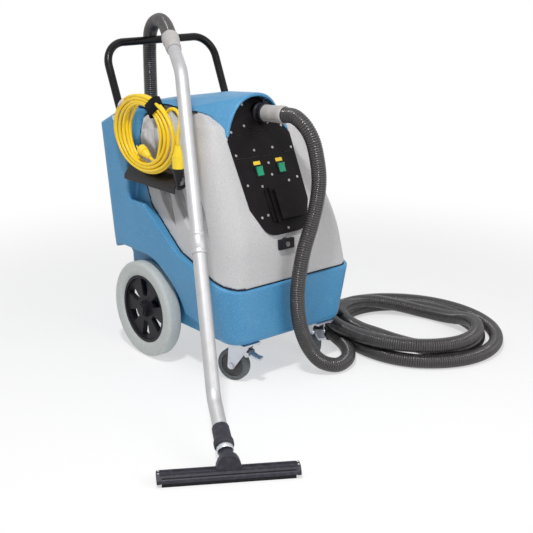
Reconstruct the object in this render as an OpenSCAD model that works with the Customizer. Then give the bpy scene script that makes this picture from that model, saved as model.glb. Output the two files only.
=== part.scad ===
// Walk-behind carpet cleaner: wheeled tank body, control panel, vacuum hose, S-bend wand with
// squeegee, and a power cord hung on its side.
// The machine is laid out with X across it, its front towards -Y and the rear axle above Y = 0.
// place() then moves everything so that the origin lies on the floor under the middle of it all.

/* [Rear wheels] */
// Diameter of a rear wheel
wheel_d = 305; // [290:1:315]
// Width of a rear tyre
tyre_w = 50; // [40:1:54]
// Diameter of the moulded hub that carries the tyre
rim_d = 216; // [190:2:230]
// Distance between the outer faces of the two tyres
track_w = 528; // [520:2:560]
// Diameter of the rear axle
axle_d = 19; // [16:1:22]
// Number of spokes in a rear hub
spokes = 6; // [5:1:8]

/* [Casters] */
// Diameter of a caster wheel
caster_d = 100; // [90:1:102]
// Width of a caster tyre
caster_w = 30; // [24:1:32]
// Distance that the caster wheel trails its swivel
caster_trail = 30; // [24:1:34]
// Distance between the two swivels
caster_track = 292; // [270:2:300]
// Swivel position, from the rear axle
caster_y = -360; // [-366:1:-340]
// Angle that the casters stand turned at rest
caster_turn = 22; // [0:1:30]
// Thickness of the caster fork's sheet steel
fork_t = 3; // [2:0.5:4]

/* [Blue base tank] */
// Height of the tank's underside above the floor
base_z = 130; // [128:1:136]
// Height of the front seam between the base and the grey tank
seam_z = 300; // [280:2:320]
// Half of the base's width
base_hw = 248; // [244:1:252]
// Front face of the base, from the rear axle
base_front = 408; // [400:1:414]
// Height of the tower's top
tower_z = 755; // [750:1:762]
// Clearance between a rear tyre and the wheel arch
arch_gap = 27; // [16:1:30]
// Clearance between a rear tyre and the wall of its well
well_gap = 9; // [5:1:14]

/* [Grey tank] */
// Step from the base's side in to the grey tank's foot
tank_step = 4; // [3:0.5:8]
// Lean of the control panel, from vertical
panel_lean = 26.7; // [25:0.1:28]
// Height of the panel's lower end
panel_z = 441; // [436:1:446]
// Distance of the panel's lower end in front of the axle
panel_front = 392; // [388:1:394]
// Height of the tank's crown
crown_z = 812; // [806:1:814]
// Thickness of the seals under the grey tank and the hood
seal_t = 4; // [3:0.5:6]
// Depth of a flute at its top
flute_depth = 16; // [8:1:20]
// Width of a flute
flute_w = 26; // [18:1:32]

/* [Hood] */
// Height of the hood's crest
hood_z = 833; // [830:1:838]
// Half of the distance between the hood's front tips
hood_tip_x = 135; // [130:1:140]
// Thickness of the hood's visor
hood_wall = 12; // [9:1:14]

/* [Control panel] */
// Thickness of the three panel plates
plate_t = 3; // [2:0.5:4]
// Half of the panel's width at its widest
panel_hw = 118; // [112:1:122]
// Height of the lowest plate along the slope
switch_plate_h = 240; // [236:1:244]
// Height of the middle plate along the slope
middle_plate_h = 71; // [66:1:74]
// Width of a rocker switch
rocker_w = 22; // [18:1:26]
// Height of a rocker switch
rocker_h = 27; // [22:1:30]
// Tilt of a rocker to each side of level
rocker_tilt = 8; // [5:1:10]
// Diameter of the pan heads of the panel screws
screw_d = 8; // [6:0.5:10]
// Diameter of the breaker's reset button
button_d = 15; // [12:1:18]

/* [Handle] */
// Diameter of the handle's tube
handle_d = 25; // [22:1:28]
// Distance of a handle leg inside the base's side
leg_inset = 40; // [36:1:46]
// Height of the centre of the handle's bar
handle_z = 946; // [930:2:960]
// Distance behind the axle at which the legs enter the tower
leg_y = 165.64; // [160:0.02:170]
// Lean of the handle, from vertical
handle_lean = 23.2; // [20:0.2:25]
// Radius of the handle's corners
handle_r = 72; // [60:2:80]
// Depth that the legs reach into the tower
leg_depth = 60; // [40:2:80]

/* [Vacuum hose and wand] */
// Outside diameter of the vacuum hose
hose_d = 45; // [42:1:45]
// Length of the inlet cuff
cuff_len = 112; // [100:2:116]
// Outside diameter of the wand's tube
wand_d = 38; // [35:1:40]
// Wall of the wand's tube
wand_wall = 1.6; // [1.2:0.1:2.5]
// Radius of the wand's two bends
wand_r = 80; // [70:2:100]
// Length of the squeegee head
head_len = 356; // [320:2:400]
// Depth of the squeegee head, front to back
head_depth = 54; // [48:1:60]

/* [Power cord] */
// Diameter of the power cord
cord_d = 10; // [9:0.5:11]
// Thickness of the hung coil, out from the machine
coil_t = 26; // [22:1:30]
// Length of the cord bracket at its lip
bracket_len = 262; // [250:2:270]

/* [Drain valve] */
// Bore of the drain outlet
drain_bore = 38; // [36:1:40]
// Length of the drain outlet
drain_len = 64; // [60:1:70]

/* [Hidden] */

blue = "steelblue";
grey = "lightgray";
black = [0.08, 0.08, 0.09];
steel = [0.75, 0.76, 0.78];
yellow = [0.95, 0.8, 0.05];

skin = 0.2;          // thickness of the slices that the big mouldings are drawn between
fit = 0.05;          // radial running clearance of a pin in its bore
gap = 0.3;           // clearance between pieces that move past each other
seat = 0.05;         // clearance under pieces that are screwed down
far = 900;           // reach of cutting solids
fine = 64;           // facets of a round that carries a fit
coarse = 40;         // facets of a plain round

tank_hw = base_hw - tank_step;
handle_w = 2 * (base_hw - leg_inset);
handle_y = leg_y + (handle_z - tower_z) * tan(handle_lean);
wheel_z = wheel_d / 2;
wheel_x = track_w / 2 - tyre_w / 2;
well_x = track_w / 2 - tyre_w - well_gap;
arch_r = wheel_d / 2 + arch_gap;

tan_lean = tan(panel_lean);
arch_v = 300;        // height along the slope at which the panel starts to arch over
cap_out = 4;         // height of a hub cap above the tyre's outer face
drain_x = base_hw - 130;    // middle of the drain valve's flange
drain_y = 187;
drain_z = 408;
drain_flange_r = 34;
head_x = -546;       // middle of the squeegee head
head_y = -799;
head_turn = -31.6;   // direction of the head's length
wand_turn = 62.25;   // direction in which the wand climbs

// The whole part is centred over the floor it covers, its cords left aside.
frame_x = (track_w / 2 + cap_out + head_x - head_len / 2 * cos(head_turn)
    + head_depth / 2 * sin(head_turn)) / 2;
frame_y = (max(drain_y + drain_len, handle_y + handle_d / 2) + head_y
    + head_len / 2 * sin(head_turn) - head_depth / 2 * cos(head_turn)) / 2;

module place() { translate([-frame_x, -frame_y, 0]) children(); }

// ---------- shared outlines ----------

function arc(cx, cy, r, from, to, n = 10) =
    [for (i = [0:n]) let (a = from + (to - from) * i / n) [cx + r * cos(a), cy + r * sin(a)]];

// Plan of a moulding with a large front corner on the left and a small one on the right.
function plan(front, rear, hw, left_r, right_r, rear_r) = concat(
    arc(hw - rear_r, rear - rear_r, rear_r, 0, 90, 6),
    arc(rear_r - hw, rear - rear_r, rear_r, 90, 180, 6),
    arc(left_r - hw, left_r - front, left_r, 180, 270, 12),
    arc(hw - right_r, right_r - front, right_r, 270, 360, 8));

module slice(z, front, rear, hw, left_r, right_r, rear_r) {
    translate([0, 0, z]) linear_extrude(skin) polygon(plan(front, rear, hw, left_r, right_r, rear_r));
}

// A profile drawn in Y and Z, extruded over the width from x0 to x1.
module side_profile(points, x0 = -far, x1 = far) {
    translate([x0, 0, 0]) rotate([90, 0, 90]) linear_extrude(x1 - x0) polygon(points);
}

// Both sides of the machine get the same thing.
module both_sides() {
    children();
    mirror([1, 0, 0]) children();
}

// The panel's own frame: X across, Y up the slope, Z out of the panel.
module on_panel() {
    translate([0, -panel_front, panel_z]) rotate([90 - panel_lean, 0, 0]) children();
}

function panel_front_at(z) = panel_front - (z - panel_z) * tan_lean;
face_back = (plate_t + seat) / cos(panel_lean);

// ---------- big mouldings ----------

// Seam between the blue base and the grey tank, seen from the side.
seam_end = 112;
seam = [[-far, seam_z], [-base_front + 8, seam_z], [-305, seam_z + 37], [-228, seam_z + 60],
    [-173, seam_z + 76], [-101, seam_z + 122], [-45, seam_z + 159], [-5, seam_z + 184],
    [33, seam_z + 240], [70, seam_z + 310], [98, seam_z + 390], [seam_end, tower_z + seal_t]];

function raised(points, dz) = [for (p = points) [p[0], p[1] + dz]];

module base_envelope() {
    hull() {
        slice(base_z, base_front - 10, -20, 204, 50, 24, 20);
        slice(base_z + 14, base_front - 4, 10, 216, 60, 30, 20);
        slice(seam_z, base_front, 176, base_hw, 86, 30, 36);
        slice(seam_z + 60, base_front - 34, 188, base_hw, 80, 30, 36);
        slice(tower_z - 50, 60, 255, base_hw - 9, 40, 40, 36);
        slice(tower_z - skin, -60, 150, base_hw - 14, 30, 30, 24);
    }
}

// The base as moulded, before its recesses are cut: everything below and behind the seam.
module base_skin() {
    intersection() {
        base_envelope();
        side_profile(concat(raised(seam, -seal_t / 2), [[far, tower_z + seal_t], [far, 0], [-far, 0]]));
    }
}

// Step in each side of the tower, whose floor carries on the tank's side above a level ledge.
ledge_z = seam_z + 186;

module side_recess() {
    both_sides() translate([tank_side_at(ledge_z), 0, ledge_z]) rotate([0, -side_lean, 0])
        side_profile([[-60, 0], [78, 0], [80, 65], [107, 219], [seam_end, 290], [-60, 290]], 0);
}

tail_z = seam_z + 12;    // underside of the tower behind the wheels

module base_tank() {
    color(blue) difference() {
        base_skin();
        // wheel wells, open behind and below
        both_sides() {
            translate([well_x, 0, wheel_z]) rotate([0, 90, 0]) cylinder(r = arch_r, h = far, $fn = fine);
            side_profile([[0, 0], [far, 0], [far, tail_z], [174, tail_z], [142, tail_z + 22],
                [0, wheel_z + arch_r]], well_x, far);
            side_profile([[-330, 0], [-330, base_z + 14], [-150, base_z + 56], [0, base_z + 56], [0, 0]],
                well_x, far);
        }
        // the underside behind the axle
        side_profile([[104, 0], [128, tail_z - 9], [142, tail_z], [far, tail_z], [far, 0]]);
        // axle bore and the sockets of the handle's legs
        translate([0, 0, wheel_z]) rotate([0, 90, 0])
            cylinder(r = axle_d / 2 + fit, h = far, center = true, $fn = fine);
        both_sides() handle_axis(handle_w / 2) cylinder(r = handle_d / 2 + fit, h = leg_reach, $fn = fine);
        side_recess();
        bolt_holes();
        // spot faces that the bolts' heads pull against
        on_bolts() translate([0, 0, bolt_seat - handle_w / 2])
            cylinder(r = bolt_head_r + gap, h = far, $fn = fine);
        // flat pocket that the drain valve's flange sits in
        drain_place() cylinder(r = drain_flange_r + gap, h = far, $fn = fine);
    }
}

// Above the panel's foot every slice of the grey tank starts at the panel's plane.
module tank_slice(z, rear, hw, left_r, grow) {
    slice(z, panel_front_at(z + skin) - face_back + grow, rear, hw + grow, left_r, left_r / 2, 30);
}

module tank_envelope(grow = 0) {
    hull() {
        slice(seam_z - 20, base_front - 6 + grow, 120, tank_hw + grow, 82, 26, 30);
        tank_slice(panel_z, 125, tank_hw - 22, 78, grow);
        tank_slice(560, 125, tank_hw - 40, 74, grow);
        tank_slice(672, 125, tank_hw - 56, 66, grow);
        tank_slice(tower_z - 15, 118, tank_hw - 80, 54, grow);
        tank_slice(crown_z - 22 + grow, 0, tank_hw - 112, 46, grow);
        tank_slice(crown_z - skin + grow, -90, tank_hw - 160, 40, grow);
    }
}

// Flutes lean back along the tank's side: each starts at a point and widens and deepens upwards.
flute_feet = [[-132, 447], [-204, 452], [-300, 432]];
flute_run = 380;
flute_taper = 116;   // length over which a flute widens
flute_lean = 36.5;   // backward lean of a flute
foot_depth = 2;
side_lean = 8.4;     // inward lean of the tank's side

function tank_side_at(z) = tank_hw - 22 - (z - panel_z) * tan(side_lean);

module flute(foot) {
    dip = atan((flute_depth - foot_depth) / flute_taper / 2);
    half = flute_w / 2;
    translate([tank_side_at(foot[1]) - foot_depth, foot[0], foot[1]])
        rotate([-flute_lean, -side_lean - dip, 0]) side_profile([[0, 0], [half, flute_taper],
            [half, flute_run], [-half, flute_run], [-half, flute_taper]], 0);
}

// Dark hollow above the ribs, under the hood's edge.
module rib_recess() {
    both_sides() side_profile([[95, tower_z - 65], [-70, tower_z - 20], [-150, tower_z - 10],
        [-150, tower_z - 4], [95, tower_z - 4]], tank_side_at(tower_z) - flute_depth);
}

module recovery_tank() {
    color(grey) difference() {
        intersection() {
            tank_envelope();
            side_profile(concat(raised(seam, seal_t / 2), [[seam_end, far], [-far, far]]));
            union() {
                side_profile(concat(hood_edge, [[far, 0], [-far, 0]]));
                crown_space();
            }
        }
        both_sides() for (foot = flute_feet) flute(foot);
        rib_recess();
        breaker_place() translate([0, 0, -12 + 1]) cylinder(d = button_d + 2 * gap, h = 12, $fn = fine);
        for (x = rocker_x) on_panel() translate([x, rocker_v, -6 - plate_t])
            cube([rocker_w + 2, rocker_h + 2, 12], center = true);
    }
}

module tank_seal() {
    color(black) intersection() {
        base_envelope();
        tank_envelope(-1);
        side_profile(concat(raised(seam, -seal_t / 2), [for (i = [len(seam) - 1:-1:0])
            [seam[i][0], seam[i][1] + seal_t / 2]]));
    }
}

// Lower edge of the hood, seen from the side, from its front tip to the tower.
hood_edge = [[-far, tower_z - 55], [-262, tower_z - 43], [-244, tower_z - 23], [-226, tower_z - 8],
    [-182, tower_z + 15], [-141, tower_z + 24], [-85, tower_z + 29], [-20, tower_z + 31],
    [60, tower_z + 23], [seam_end, tower_z + seal_t], [far, tower_z + seal_t]];

// Front view of the hood: upright lips, then flanks that run tangent into a round crest.
function arch(hw, foot, shoulder, top, r) = concat(
    [[-hw, foot], [hw, foot], [hw, shoulder]],
    arc(0, top - r, r, 18, 162, 16),
    [[-hw, shoulder]]);

module arch_plate(y, hw, foot, shoulder, top, r) {
    translate([0, y, 0]) rotate([90, 0, 0]) linear_extrude(skin) polygon(arch(hw, foot, shoulder, top, r));
}

hood_front = 244;
hood_foot = tower_z - 51;
hood_crest_r = 88;

// The hood's front is a high arch and its rear lies nearly flat on the tower.
module hood_envelope(inset = 0) {
    hull() {
        arch_plate(inset - hood_front, hood_tip_x - inset, hood_foot, hood_foot + 2, hood_z - inset,
            hood_crest_r);
        arch_plate(-110, tank_hw - 82 - inset, tower_z + 10, tower_z + 31 - inset,
            hood_z - 12 - inset, 118);
        arch_plate(60, tank_hw - 90 - inset, tower_z - 5, tower_z + 31 - inset, hood_z - 43 - inset, 30);
        arch_plate(176 - inset, tank_hw - 90 - inset, tower_z - 8, tower_z + 11 - inset,
            hood_z - 63 - inset, 20);
    }
}

// Room for the grey tank's crown inside the hood, open where the panel's plates close it.
module crown_space(grow = 0) {
    inset = hood_wall - grow;
    hood_envelope(inset);
    translate([0, inset - hood_front, 0]) rotate([90, 0, 0]) linear_extrude(80)
        polygon(arch(hood_tip_x - inset, hood_foot, hood_foot + 2, hood_z - inset, hood_crest_r));
}

module hood() {
    color(blue) difference() {
        intersection() {
            hood_envelope();
            side_profile(concat(hood_edge, [[far, far], [-far, far]]));
        }
        intersection() {
            tank_envelope(gap);
            crown_space(gap);
        }
        // the visor's tunnel in front of the panel
        translate([0, -150, panel_z]) rotate([90, 0, 0]) linear_extrude(200)
            scale([1, cos(panel_lean)]) offset(r = 2) panel_outline();
    }
}

// The seal runs where the hood stands out over the tank, behind its front tips.
sealed_edge = [for (i = [4:len(hood_edge) - 1]) hood_edge[i]];

module hood_seal() {
    color(black) difference() {
        intersection() {
            hood_envelope(3);
            side_profile(concat(raised(sealed_edge, -seal_t), [for (i = [len(sealed_edge) - 1:-1:0])
                sealed_edge[i]]));
        }
        tank_envelope();
        on_panel() translate([-far, -far, -plate_t]) cube([2 * far, 2 * far, far]);
    }
}

// ---------- control panel ----------

// Outline of the whole panel along its slope: round at the foot, arched at the top.
module panel_outline() {
    foot_r = 50;
    top_r = 84;
    hull() {
        for (s = [-1, 1]) {
            translate([s * 40, foot_r]) circle(foot_r, $fn = 32);
            translate([s * (panel_hw - 6), arch_v - 6]) circle(6, $fn = 16);
            translate([s * (panel_hw - 16), 90]) circle(10, $fn = 16);
        }
        translate([0, arch_v + 124 - top_r]) circle(top_r, $fn = 48);
    }
}

module panel_plate(from, to) {
    on_panel() translate([0, 0, -plate_t]) linear_extrude(plate_t) intersection() {
        panel_outline();
        translate([-far, from]) square([2 * far, to - from]);
    }
}

rocker_x = [-38, 46];
rocker_v = 194;
seam_gap = 0.8;
inlet_x = 26;
inlet_bore = hose_d - 5;

module switch_plate() {
    color(black) difference() {
        panel_plate(0, switch_plate_h - seam_gap);
        for (x = rocker_x) on_panel() translate([x, rocker_v, 0])
            cube([rocker_w + 2 * gap, rocker_h + 2, 30], center = true);
    }
}

module middle_plate() {
    color(black) panel_plate(switch_plate_h, switch_plate_h + middle_plate_h - seam_gap);
}

module inlet_plate() {
    color(black) panel_plate(switch_plate_h + middle_plate_h, far);
}

// Raised box over the wiring, with a stepped flange beside it.
module cover_box() {
    color(black) on_panel() {
        translate([-16, 40, 0]) cube([86, 92, 16]);
        translate([-30, 34, 0]) cube([14, 106, 6]);
        translate([-42, 40, 0]) cube([12, 96, 3]);
        translate([-30, 34, 6]) cube([3, 106, 4]);
    }
}

// Pan-head screws, placed across and up the slope.
screw_spots = [[-30, 398], [55, 396], [-45, 334], [44, 335], [92, 320], [-98, 320], [-35, 258], [35, 258],
    [-105, 250], [105, 250], [-95, 158], [95, 158], [-44, 148], [60, 152], [4, 178], [4, 214],
    [-78, 58], [-54, 62], [6, 14]];

module panel_screws() {
    color(steel) for (p = screw_spots) on_panel() translate([p[0], p[1], 0]) {
        cylinder(d = screw_d, h = 1.4, $fn = 24);
        translate([0, 0, 1.4]) cylinder(d = screw_d * 0.7, h = 0.8, $fn = 24);
    }
}

module switch_bezels() {
    frame = 3;
    color(black) for (x = rocker_x) on_panel() translate([x, rocker_v, 0]) difference() {
        translate([-rocker_w / 2 - frame, -rocker_h / 2 - frame - 1, 0])
            cube([rocker_w + 2 * frame, rocker_h + 2 * frame + 2, 3]);
        translate([0, 0, 2]) cube([rocker_w + 2 * gap, rocker_h + 2, 12], center = true);
    }
}

// A rocker is a shallow V that turns about a pin across its middle; at rest its foot is pressed in.
rocker_pivot = 2.5;
rocker_pin = 2.6;    // radius of the pin that is moulded across the rocker

module rocker(x) {
    on_panel() translate([x, rocker_v, rocker_pivot]) rotate([rocker_tilt, 0, 0]) rotate([90, 0, 90]) {
        translate([0, 0, -rocker_w / 2]) linear_extrude(rocker_w)
            polygon([[-rocker_h / 2, -1], [rocker_h / 2, -1], [rocker_h / 2, 4.5], [0, 2.4],
                [-rocker_h / 2, 4.5]]);
        cylinder(r = rocker_pin, h = rocker_w, center = true, $fn = fine);
    }
}

module left_rocker() { color("seagreen") rocker(rocker_x[0]); }
module right_rocker() { color("seagreen") rocker(rocker_x[1]); }

module label_plates() {
    color(yellow) for (x = rocker_x) on_panel() translate([x - 13, rocker_v + rocker_h / 2 + 6, 0])
        cube([25, 11, 0.8]);
}

// Circuit breaker below the panel: a case on the tank's front with a push-to-reset button.
module breaker_place() {
    translate([-11, -panel_front + face_back - 2, 410]) rotate([88, 0, 0]) children();
}

module breaker_case() {
    color(black) difference() {
        intersection() {
            breaker_place() translate([-28, -15, -8]) cube([56, 30, 18]);
            difference() {
                translate([-far, -far, 0]) cube([2 * far, far, far]);
                tank_envelope();
            }
        }
        breaker_place() cylinder(d = button_d + 2 * gap, h = 40, center = true, $fn = fine);
    }
}

module breaker_button() {
    color(steel) breaker_place() translate([0, 0, -4]) cylinder(d = button_d, h = 16 + 2, $fn = fine);
}

// ---------- handle ----------

// Frame at a leg's place on the bar, with Z running down the leg.
module handle_axis(x) {
    translate([x, handle_y, handle_z]) rotate([180 - handle_lean, 0, 0]) children();
}

// Length of a leg from the bar's centre to its end inside the tower.
leg_reach = (handle_z - tower_z) / cos(handle_lean) + leg_depth + 20;

// Centreline of the handle in its own leaning plane: up one leg, across the bar and down the other.
function handle_bend(x, from) = [for (p = arc(x, handle_r, handle_r, from, from + 90, 6)) [p[0], 0, p[1]]];
handle_route = concat(
    [[-handle_w / 2, 0, leg_reach - 1]],
    handle_bend(handle_r - handle_w / 2, 180),
    handle_bend(handle_w / 2 - handle_r, 270),
    [[handle_w / 2, 0, leg_reach - 1]]);

module handle() {
    color(black) difference() {
        handle_axis(0) tube(handle_route, handle_d / 2, 24);
        bolt_holes();
    }
}

// Two bolts hold each leg; their heads sit in spot faces on the tower's sides.
bolt_shank_r = 4;
bolt_head_r = 8;
bolt_bite = 6;       // depth that a bolt enters its leg
bolt_seat = base_hw - 14;

// Frame at each bolt, on the leg's centreline, with Z pointing out of the tower's side.
module on_bolts() {
    both_sides() for (d = [26, 54]) handle_axis(handle_w / 2) translate([0, 0, leg_reach - d])
        rotate([0, 90, 0]) children();
}

module bolt_holes() {
    on_bolts() translate([0, 0, handle_d / 2 - bolt_bite])
        cylinder(r = bolt_shank_r + fit, h = far, $fn = fine);
}

module handle_bolts() {
    head_at = bolt_seat - handle_w / 2;
    color(steel) on_bolts() {
        translate([0, 0, handle_d / 2 - bolt_bite])
            cylinder(r = bolt_shank_r, h = head_at - handle_d / 2 + bolt_bite + 1, $fn = fine);
        translate([0, 0, head_at]) cylinder(r = bolt_head_r, h = 5, $fn = fine);
    }
}

// ---------- rear wheels ----------

module on_axle(side) {
    translate([side * wheel_x, 0, wheel_z]) rotate([0, side * 90, 0]) children();
}

module axle() {
    color(steel) translate([0, 0, wheel_z]) rotate([0, 90, 0])
        cylinder(d = axle_d, h = track_w - 8, center = true, $fn = fine);
}

// Half of the tyre's section, from the rim out to a flat tread with round shoulders.
module tyre_section() {
    rim = rim_d / 2;
    tread = wheel_d / 2;
    shoulder = 12;
    polygon(concat([[rim, -tyre_w / 2 + 8], [rim + 8, -tyre_w / 2 + 2]],
        arc(tread - shoulder, shoulder - tyre_w / 2, shoulder, -90, -8, 6),
        arc(tread - shoulder, tyre_w / 2 - shoulder, shoulder, 8, 90, 6),
        [[rim + 8, tyre_w / 2 - 2], [rim, tyre_w / 2 - 8]]));
}

module tyre(side) {
    color("gainsboro") on_axle(side) rotate_extrude($fn = 96) tyre_section();
}

// A hub is a turned wheel with a boss, a web and a rim; wedge-shaped windows leave its spokes.
module hub(side) {
    rim = rim_d / 2;
    wall = 9;
    boss = 26;
    web = 9;
    bore = axle_d / 2 + fit;
    spoke_angle = 17;    // half of the angle that a spoke takes up
    window = 180 / spokes - spoke_angle;
    color(black) on_axle(side) difference() {
        rotate_extrude($fn = 96) polygon([
            [bore, 2 - tyre_w / 2], [boss, 2 - tyre_w / 2], [boss, -web], [rim - wall, -web],
            [rim - wall, 8 - tyre_w / 2], [rim, 8 - tyre_w / 2], [rim, tyre_w / 2 - 8],
            [rim - wall, tyre_w / 2 - 8], [rim - wall, web], [boss, web],
            [boss, tyre_w / 2 - 2], [bore, tyre_w / 2 - 2]]);
        for (i = [0:spokes - 1]) rotate([0, 0, 360 * i / spokes]) translate([0, 0, -far / 2])
            linear_extrude(far) polygon(concat(
                arc(0, 0, rim - wall - 3, -window, window, 6), arc(0, 0, boss + 16, window, -window, 4)));
    }
}

module hub_cap(side) {
    color(black) on_axle(side) translate([0, 0, tyre_w / 2 - 2]) {
        cylinder(d = 46, h = 3, $fn = fine);
        translate([0, 0, 3]) cylinder(d = 34, h = cap_out - 1, $fn = fine);
    }
}

module left_tyre() { tyre(-1); }
module right_tyre() { tyre(1); }
module left_hub() { hub(-1); }
module right_hub() { hub(1); }
module left_hub_cap() { hub_cap(-1); }
module right_hub_cap() { hub_cap(1); }

// ---------- casters ----------

plate_thick = 5;
race_r = 30;
race_t = 9;
pin_r = 7;
bolt_r = 5;
ear_gap = 2;
fork_z = base_z - plate_thick - gap;      // top of the fork's raceway
caster_z = caster_d / 2;
pedal_y = -caster_trail + 8;              // pedal's pivot, ahead of the swivel
pedal_z = base_z - plate_thick - race_t - 22;

// A caster's own frame: its swivel axis at the origin, its wheel trailing towards +Y.
module caster_frame(side) {
    translate([side * caster_track / 2, caster_y, 0]) rotate([0, 0, -side * caster_turn]) children();
}

// Top plates bolted under the base, each with its king pin and four bolts.
module caster_plates() {
    color(steel) for (side = [-1, 1]) translate([side * caster_track / 2, caster_y, 0]) {
        translate([-32, -45, base_z - plate_thick]) cube([64, 90, plate_thick]);
        translate([0, 0, fork_z - race_t - 3]) cylinder(r = pin_r, h = race_t + 6, $fn = fine);
        translate([0, 0, fork_z - race_t - gap - 4]) cylinder(r = pin_r + 5, h = 4, $fn = fine);
        for (x = [-24, 24], y = [-37, 37]) translate([x, y, base_z - plate_thick - 4])
            cylinder(d = 12, h = 4.5, $fn = 24);
    }
}

module fork(side) {
    inner = caster_w / 2 + ear_gap;
    color(steel) caster_frame(side) difference() {
        union() {
            translate([0, 0, fork_z - race_t]) cylinder(r = race_r, h = race_t, $fn = fine);
            for (s = [-1, 1]) side_profile(concat(
                [[-28, fork_z - 2], [-28, fork_z - 12]],
                arc(caster_trail, caster_z, 12, 225, 380, 8),
                [[race_r + 8, fork_z - 12], [race_r + 2, fork_z - 2]]),
                min(s * inner, s * (inner + fork_t)), max(s * inner, s * (inner + fork_t)));
            translate([-inner - fork_t, -28, fork_z - 5]) cube([2 * (inner + fork_t), 58, 3]);
            // ears that carry the brake pedal's pin
            for (s = [-1, 1]) translate([s * (inner + fork_t / 2), pedal_y, pedal_z]) rotate([0, 90, 0])
                cylinder(r = 8, h = fork_t, center = true, $fn = fine);
            translate([0, pedal_y, pedal_z]) rotate([0, 90, 0])
                cylinder(r = 3, h = 2 * inner + 1, center = true, $fn = fine);
        }
        translate([0, 0, fork_z - race_t - 1]) cylinder(r = pin_r + fit, h = race_t + 6, $fn = fine);
        translate([0, 0, caster_z]) translate([0, caster_trail, 0]) rotate([0, 90, 0])
            cylinder(r = bolt_r + fit, h = 100, center = true, $fn = fine);
        translate([0, 0, fork_z - race_t - 10]) cylinder(r = pin_r + 6, h = 10 - gap, $fn = fine);
    }
}

module caster_axle(side) {
    length = caster_w + 2 * (ear_gap + fork_t);
    color(steel) caster_frame(side) translate([0, caster_trail, caster_z]) rotate([0, 90, 0]) {
        cylinder(r = bolt_r, h = length + 1, center = true, $fn = fine);
        for (s = [-1, 1]) translate([0, 0, s * (length / 2 + 2.5)])
            cylinder(r = bolt_r + 4, h = 5, center = true, $fn = 24);
    }
}

module caster_hub(side) {
    color([0.2, 0.2, 0.2]) caster_frame(side) translate([0, caster_trail, caster_z]) rotate([0, 90, 0])
        difference() {
            union() {
                cylinder(r = caster_d / 2 - 14, h = caster_w - 10, center = true, $fn = fine);
                cylinder(r = 13, h = caster_w + 2 * (ear_gap - gap), center = true, $fn = fine);
            }
            cylinder(r = bolt_r + fit, h = 100, center = true, $fn = fine);
        }
}

module caster_tyre(side) {
    tread = caster_d / 2;
    color("dimgray") caster_frame(side) translate([0, caster_trail, caster_z]) rotate([0, 90, 0])
        rotate_extrude($fn = 80) polygon(concat(
            [[tread - 14, -caster_w / 2 + 2]],
            arc(tread - 7, 7 - caster_w / 2, 7, -90, -10, 5),
            arc(tread - 7, caster_w / 2 - 7, 7, 10, 90, 5),
            [[tread - 14, caster_w / 2 - 2]]));
}

// Brake pedal: a bent lever on a pin across the front of the fork.
module brake_pedal(side) {
    width = caster_w - 6;
    color(black) caster_frame(side) difference() {
        union() {
            translate([0, pedal_y, pedal_z]) rotate([0, 90, 0])
                cylinder(r = 6, h = width, center = true, $fn = fine);
            side_profile([[pedal_y - 1, pedal_z + 6], [pedal_y - 26, pedal_z - 6],
                [pedal_y - 40, pedal_z - 8], [pedal_y - 40, pedal_z - 14],
                [pedal_y - 24, pedal_z - 12], [pedal_y - 2, pedal_z - 5.5]], -width / 2, width / 2);
        }
        translate([0, pedal_y, pedal_z]) rotate([0, 90, 0])
            cylinder(r = 3 + fit, h = 100, center = true, $fn = fine);
    }
}

module left_caster_fork() { fork(-1); }
module right_caster_fork() { fork(1); }
module left_caster_axle() { caster_axle(-1); }
module right_caster_axle() { caster_axle(1); }
module left_caster_hub() { caster_hub(-1); }
module right_caster_hub() { caster_hub(1); }
module left_caster_tyre() { caster_tyre(-1); }
module right_caster_tyre() { caster_tyre(1); }
module left_brake_pedal() { brake_pedal(-1); }
module right_brake_pedal() { brake_pedal(1); }

// ---------- cords ----------

// A tube swept through points; each ring stands square to the line through its neighbours.
function unit(v) = v / norm(v);
function heading(p, i) = unit(p[min(i + 1, len(p) - 1)] - p[max(i - 1, 0)]);
function side_of(d) = abs(d[2]) > 0.9 ? unit(cross(d, [0, 1, 0])) : unit(cross(d, [0, 0, 1]));
function carried(p, i) = i == 0 ? side_of(heading(p, 0))
    : let (s = carried(p, i - 1), d = heading(p, i)) unit(s - d * (s * d));

module tube(route, r, sides = 10) {
    p = route;
    rings = len(p);
    points = [for (i = [0:rings - 1]) let (d = heading(p, i), s = carried(p, i), u = cross(d, s))
        for (k = [0:sides - 1]) p[i] + r * (cos(360 * k / sides) * s + sin(360 * k / sides) * u)];
    walls = [for (i = [0:rings - 2]) for (k = [0:sides - 1]) let (n = (k + 1) % sides)
        [i * sides + k, (i + 1) * sides + k, (i + 1) * sides + n, i * sides + n]];
    ends = [[for (k = [0:sides - 1]) k], [for (k = [sides - 1:-1:0]) (rings - 1) * sides + k]];
    polyhedron(points, concat(walls, ends));
}

// Cuff on the panel: where its axis meets the panel, and the way it points.
inlet_at = [inlet_x, -panel_front_at(770), 770];
inlet_dir = [sin(3) * sin(87), -cos(3) * sin(87), cos(87)];
socket = 4;          // depth that the hose reaches into the inlet cuff
grip = 24;           // depth that the hose reaches into the wand's cuff

// The hose leaves its cuff, falls to the floor, turns and runs under the strap into the coil.
drop_points = [[29, -392, 774], [33, -424, 753], [44, -442, 717],
    [56, -450, 660], [64, -451, 600], [58, -451, 540], [37, -451, 470], [10, -451, 400],
    [-8, -451, 325], [-14, -451, 250], [-3, -453, 170], [28, -459, 92], [66, -474, 42], [112, -492, 24],
    [166, -480, 23], [214, -440, 23], [248, -388, 24], [270, -330, 25], [288, -277, 26]];

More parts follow.
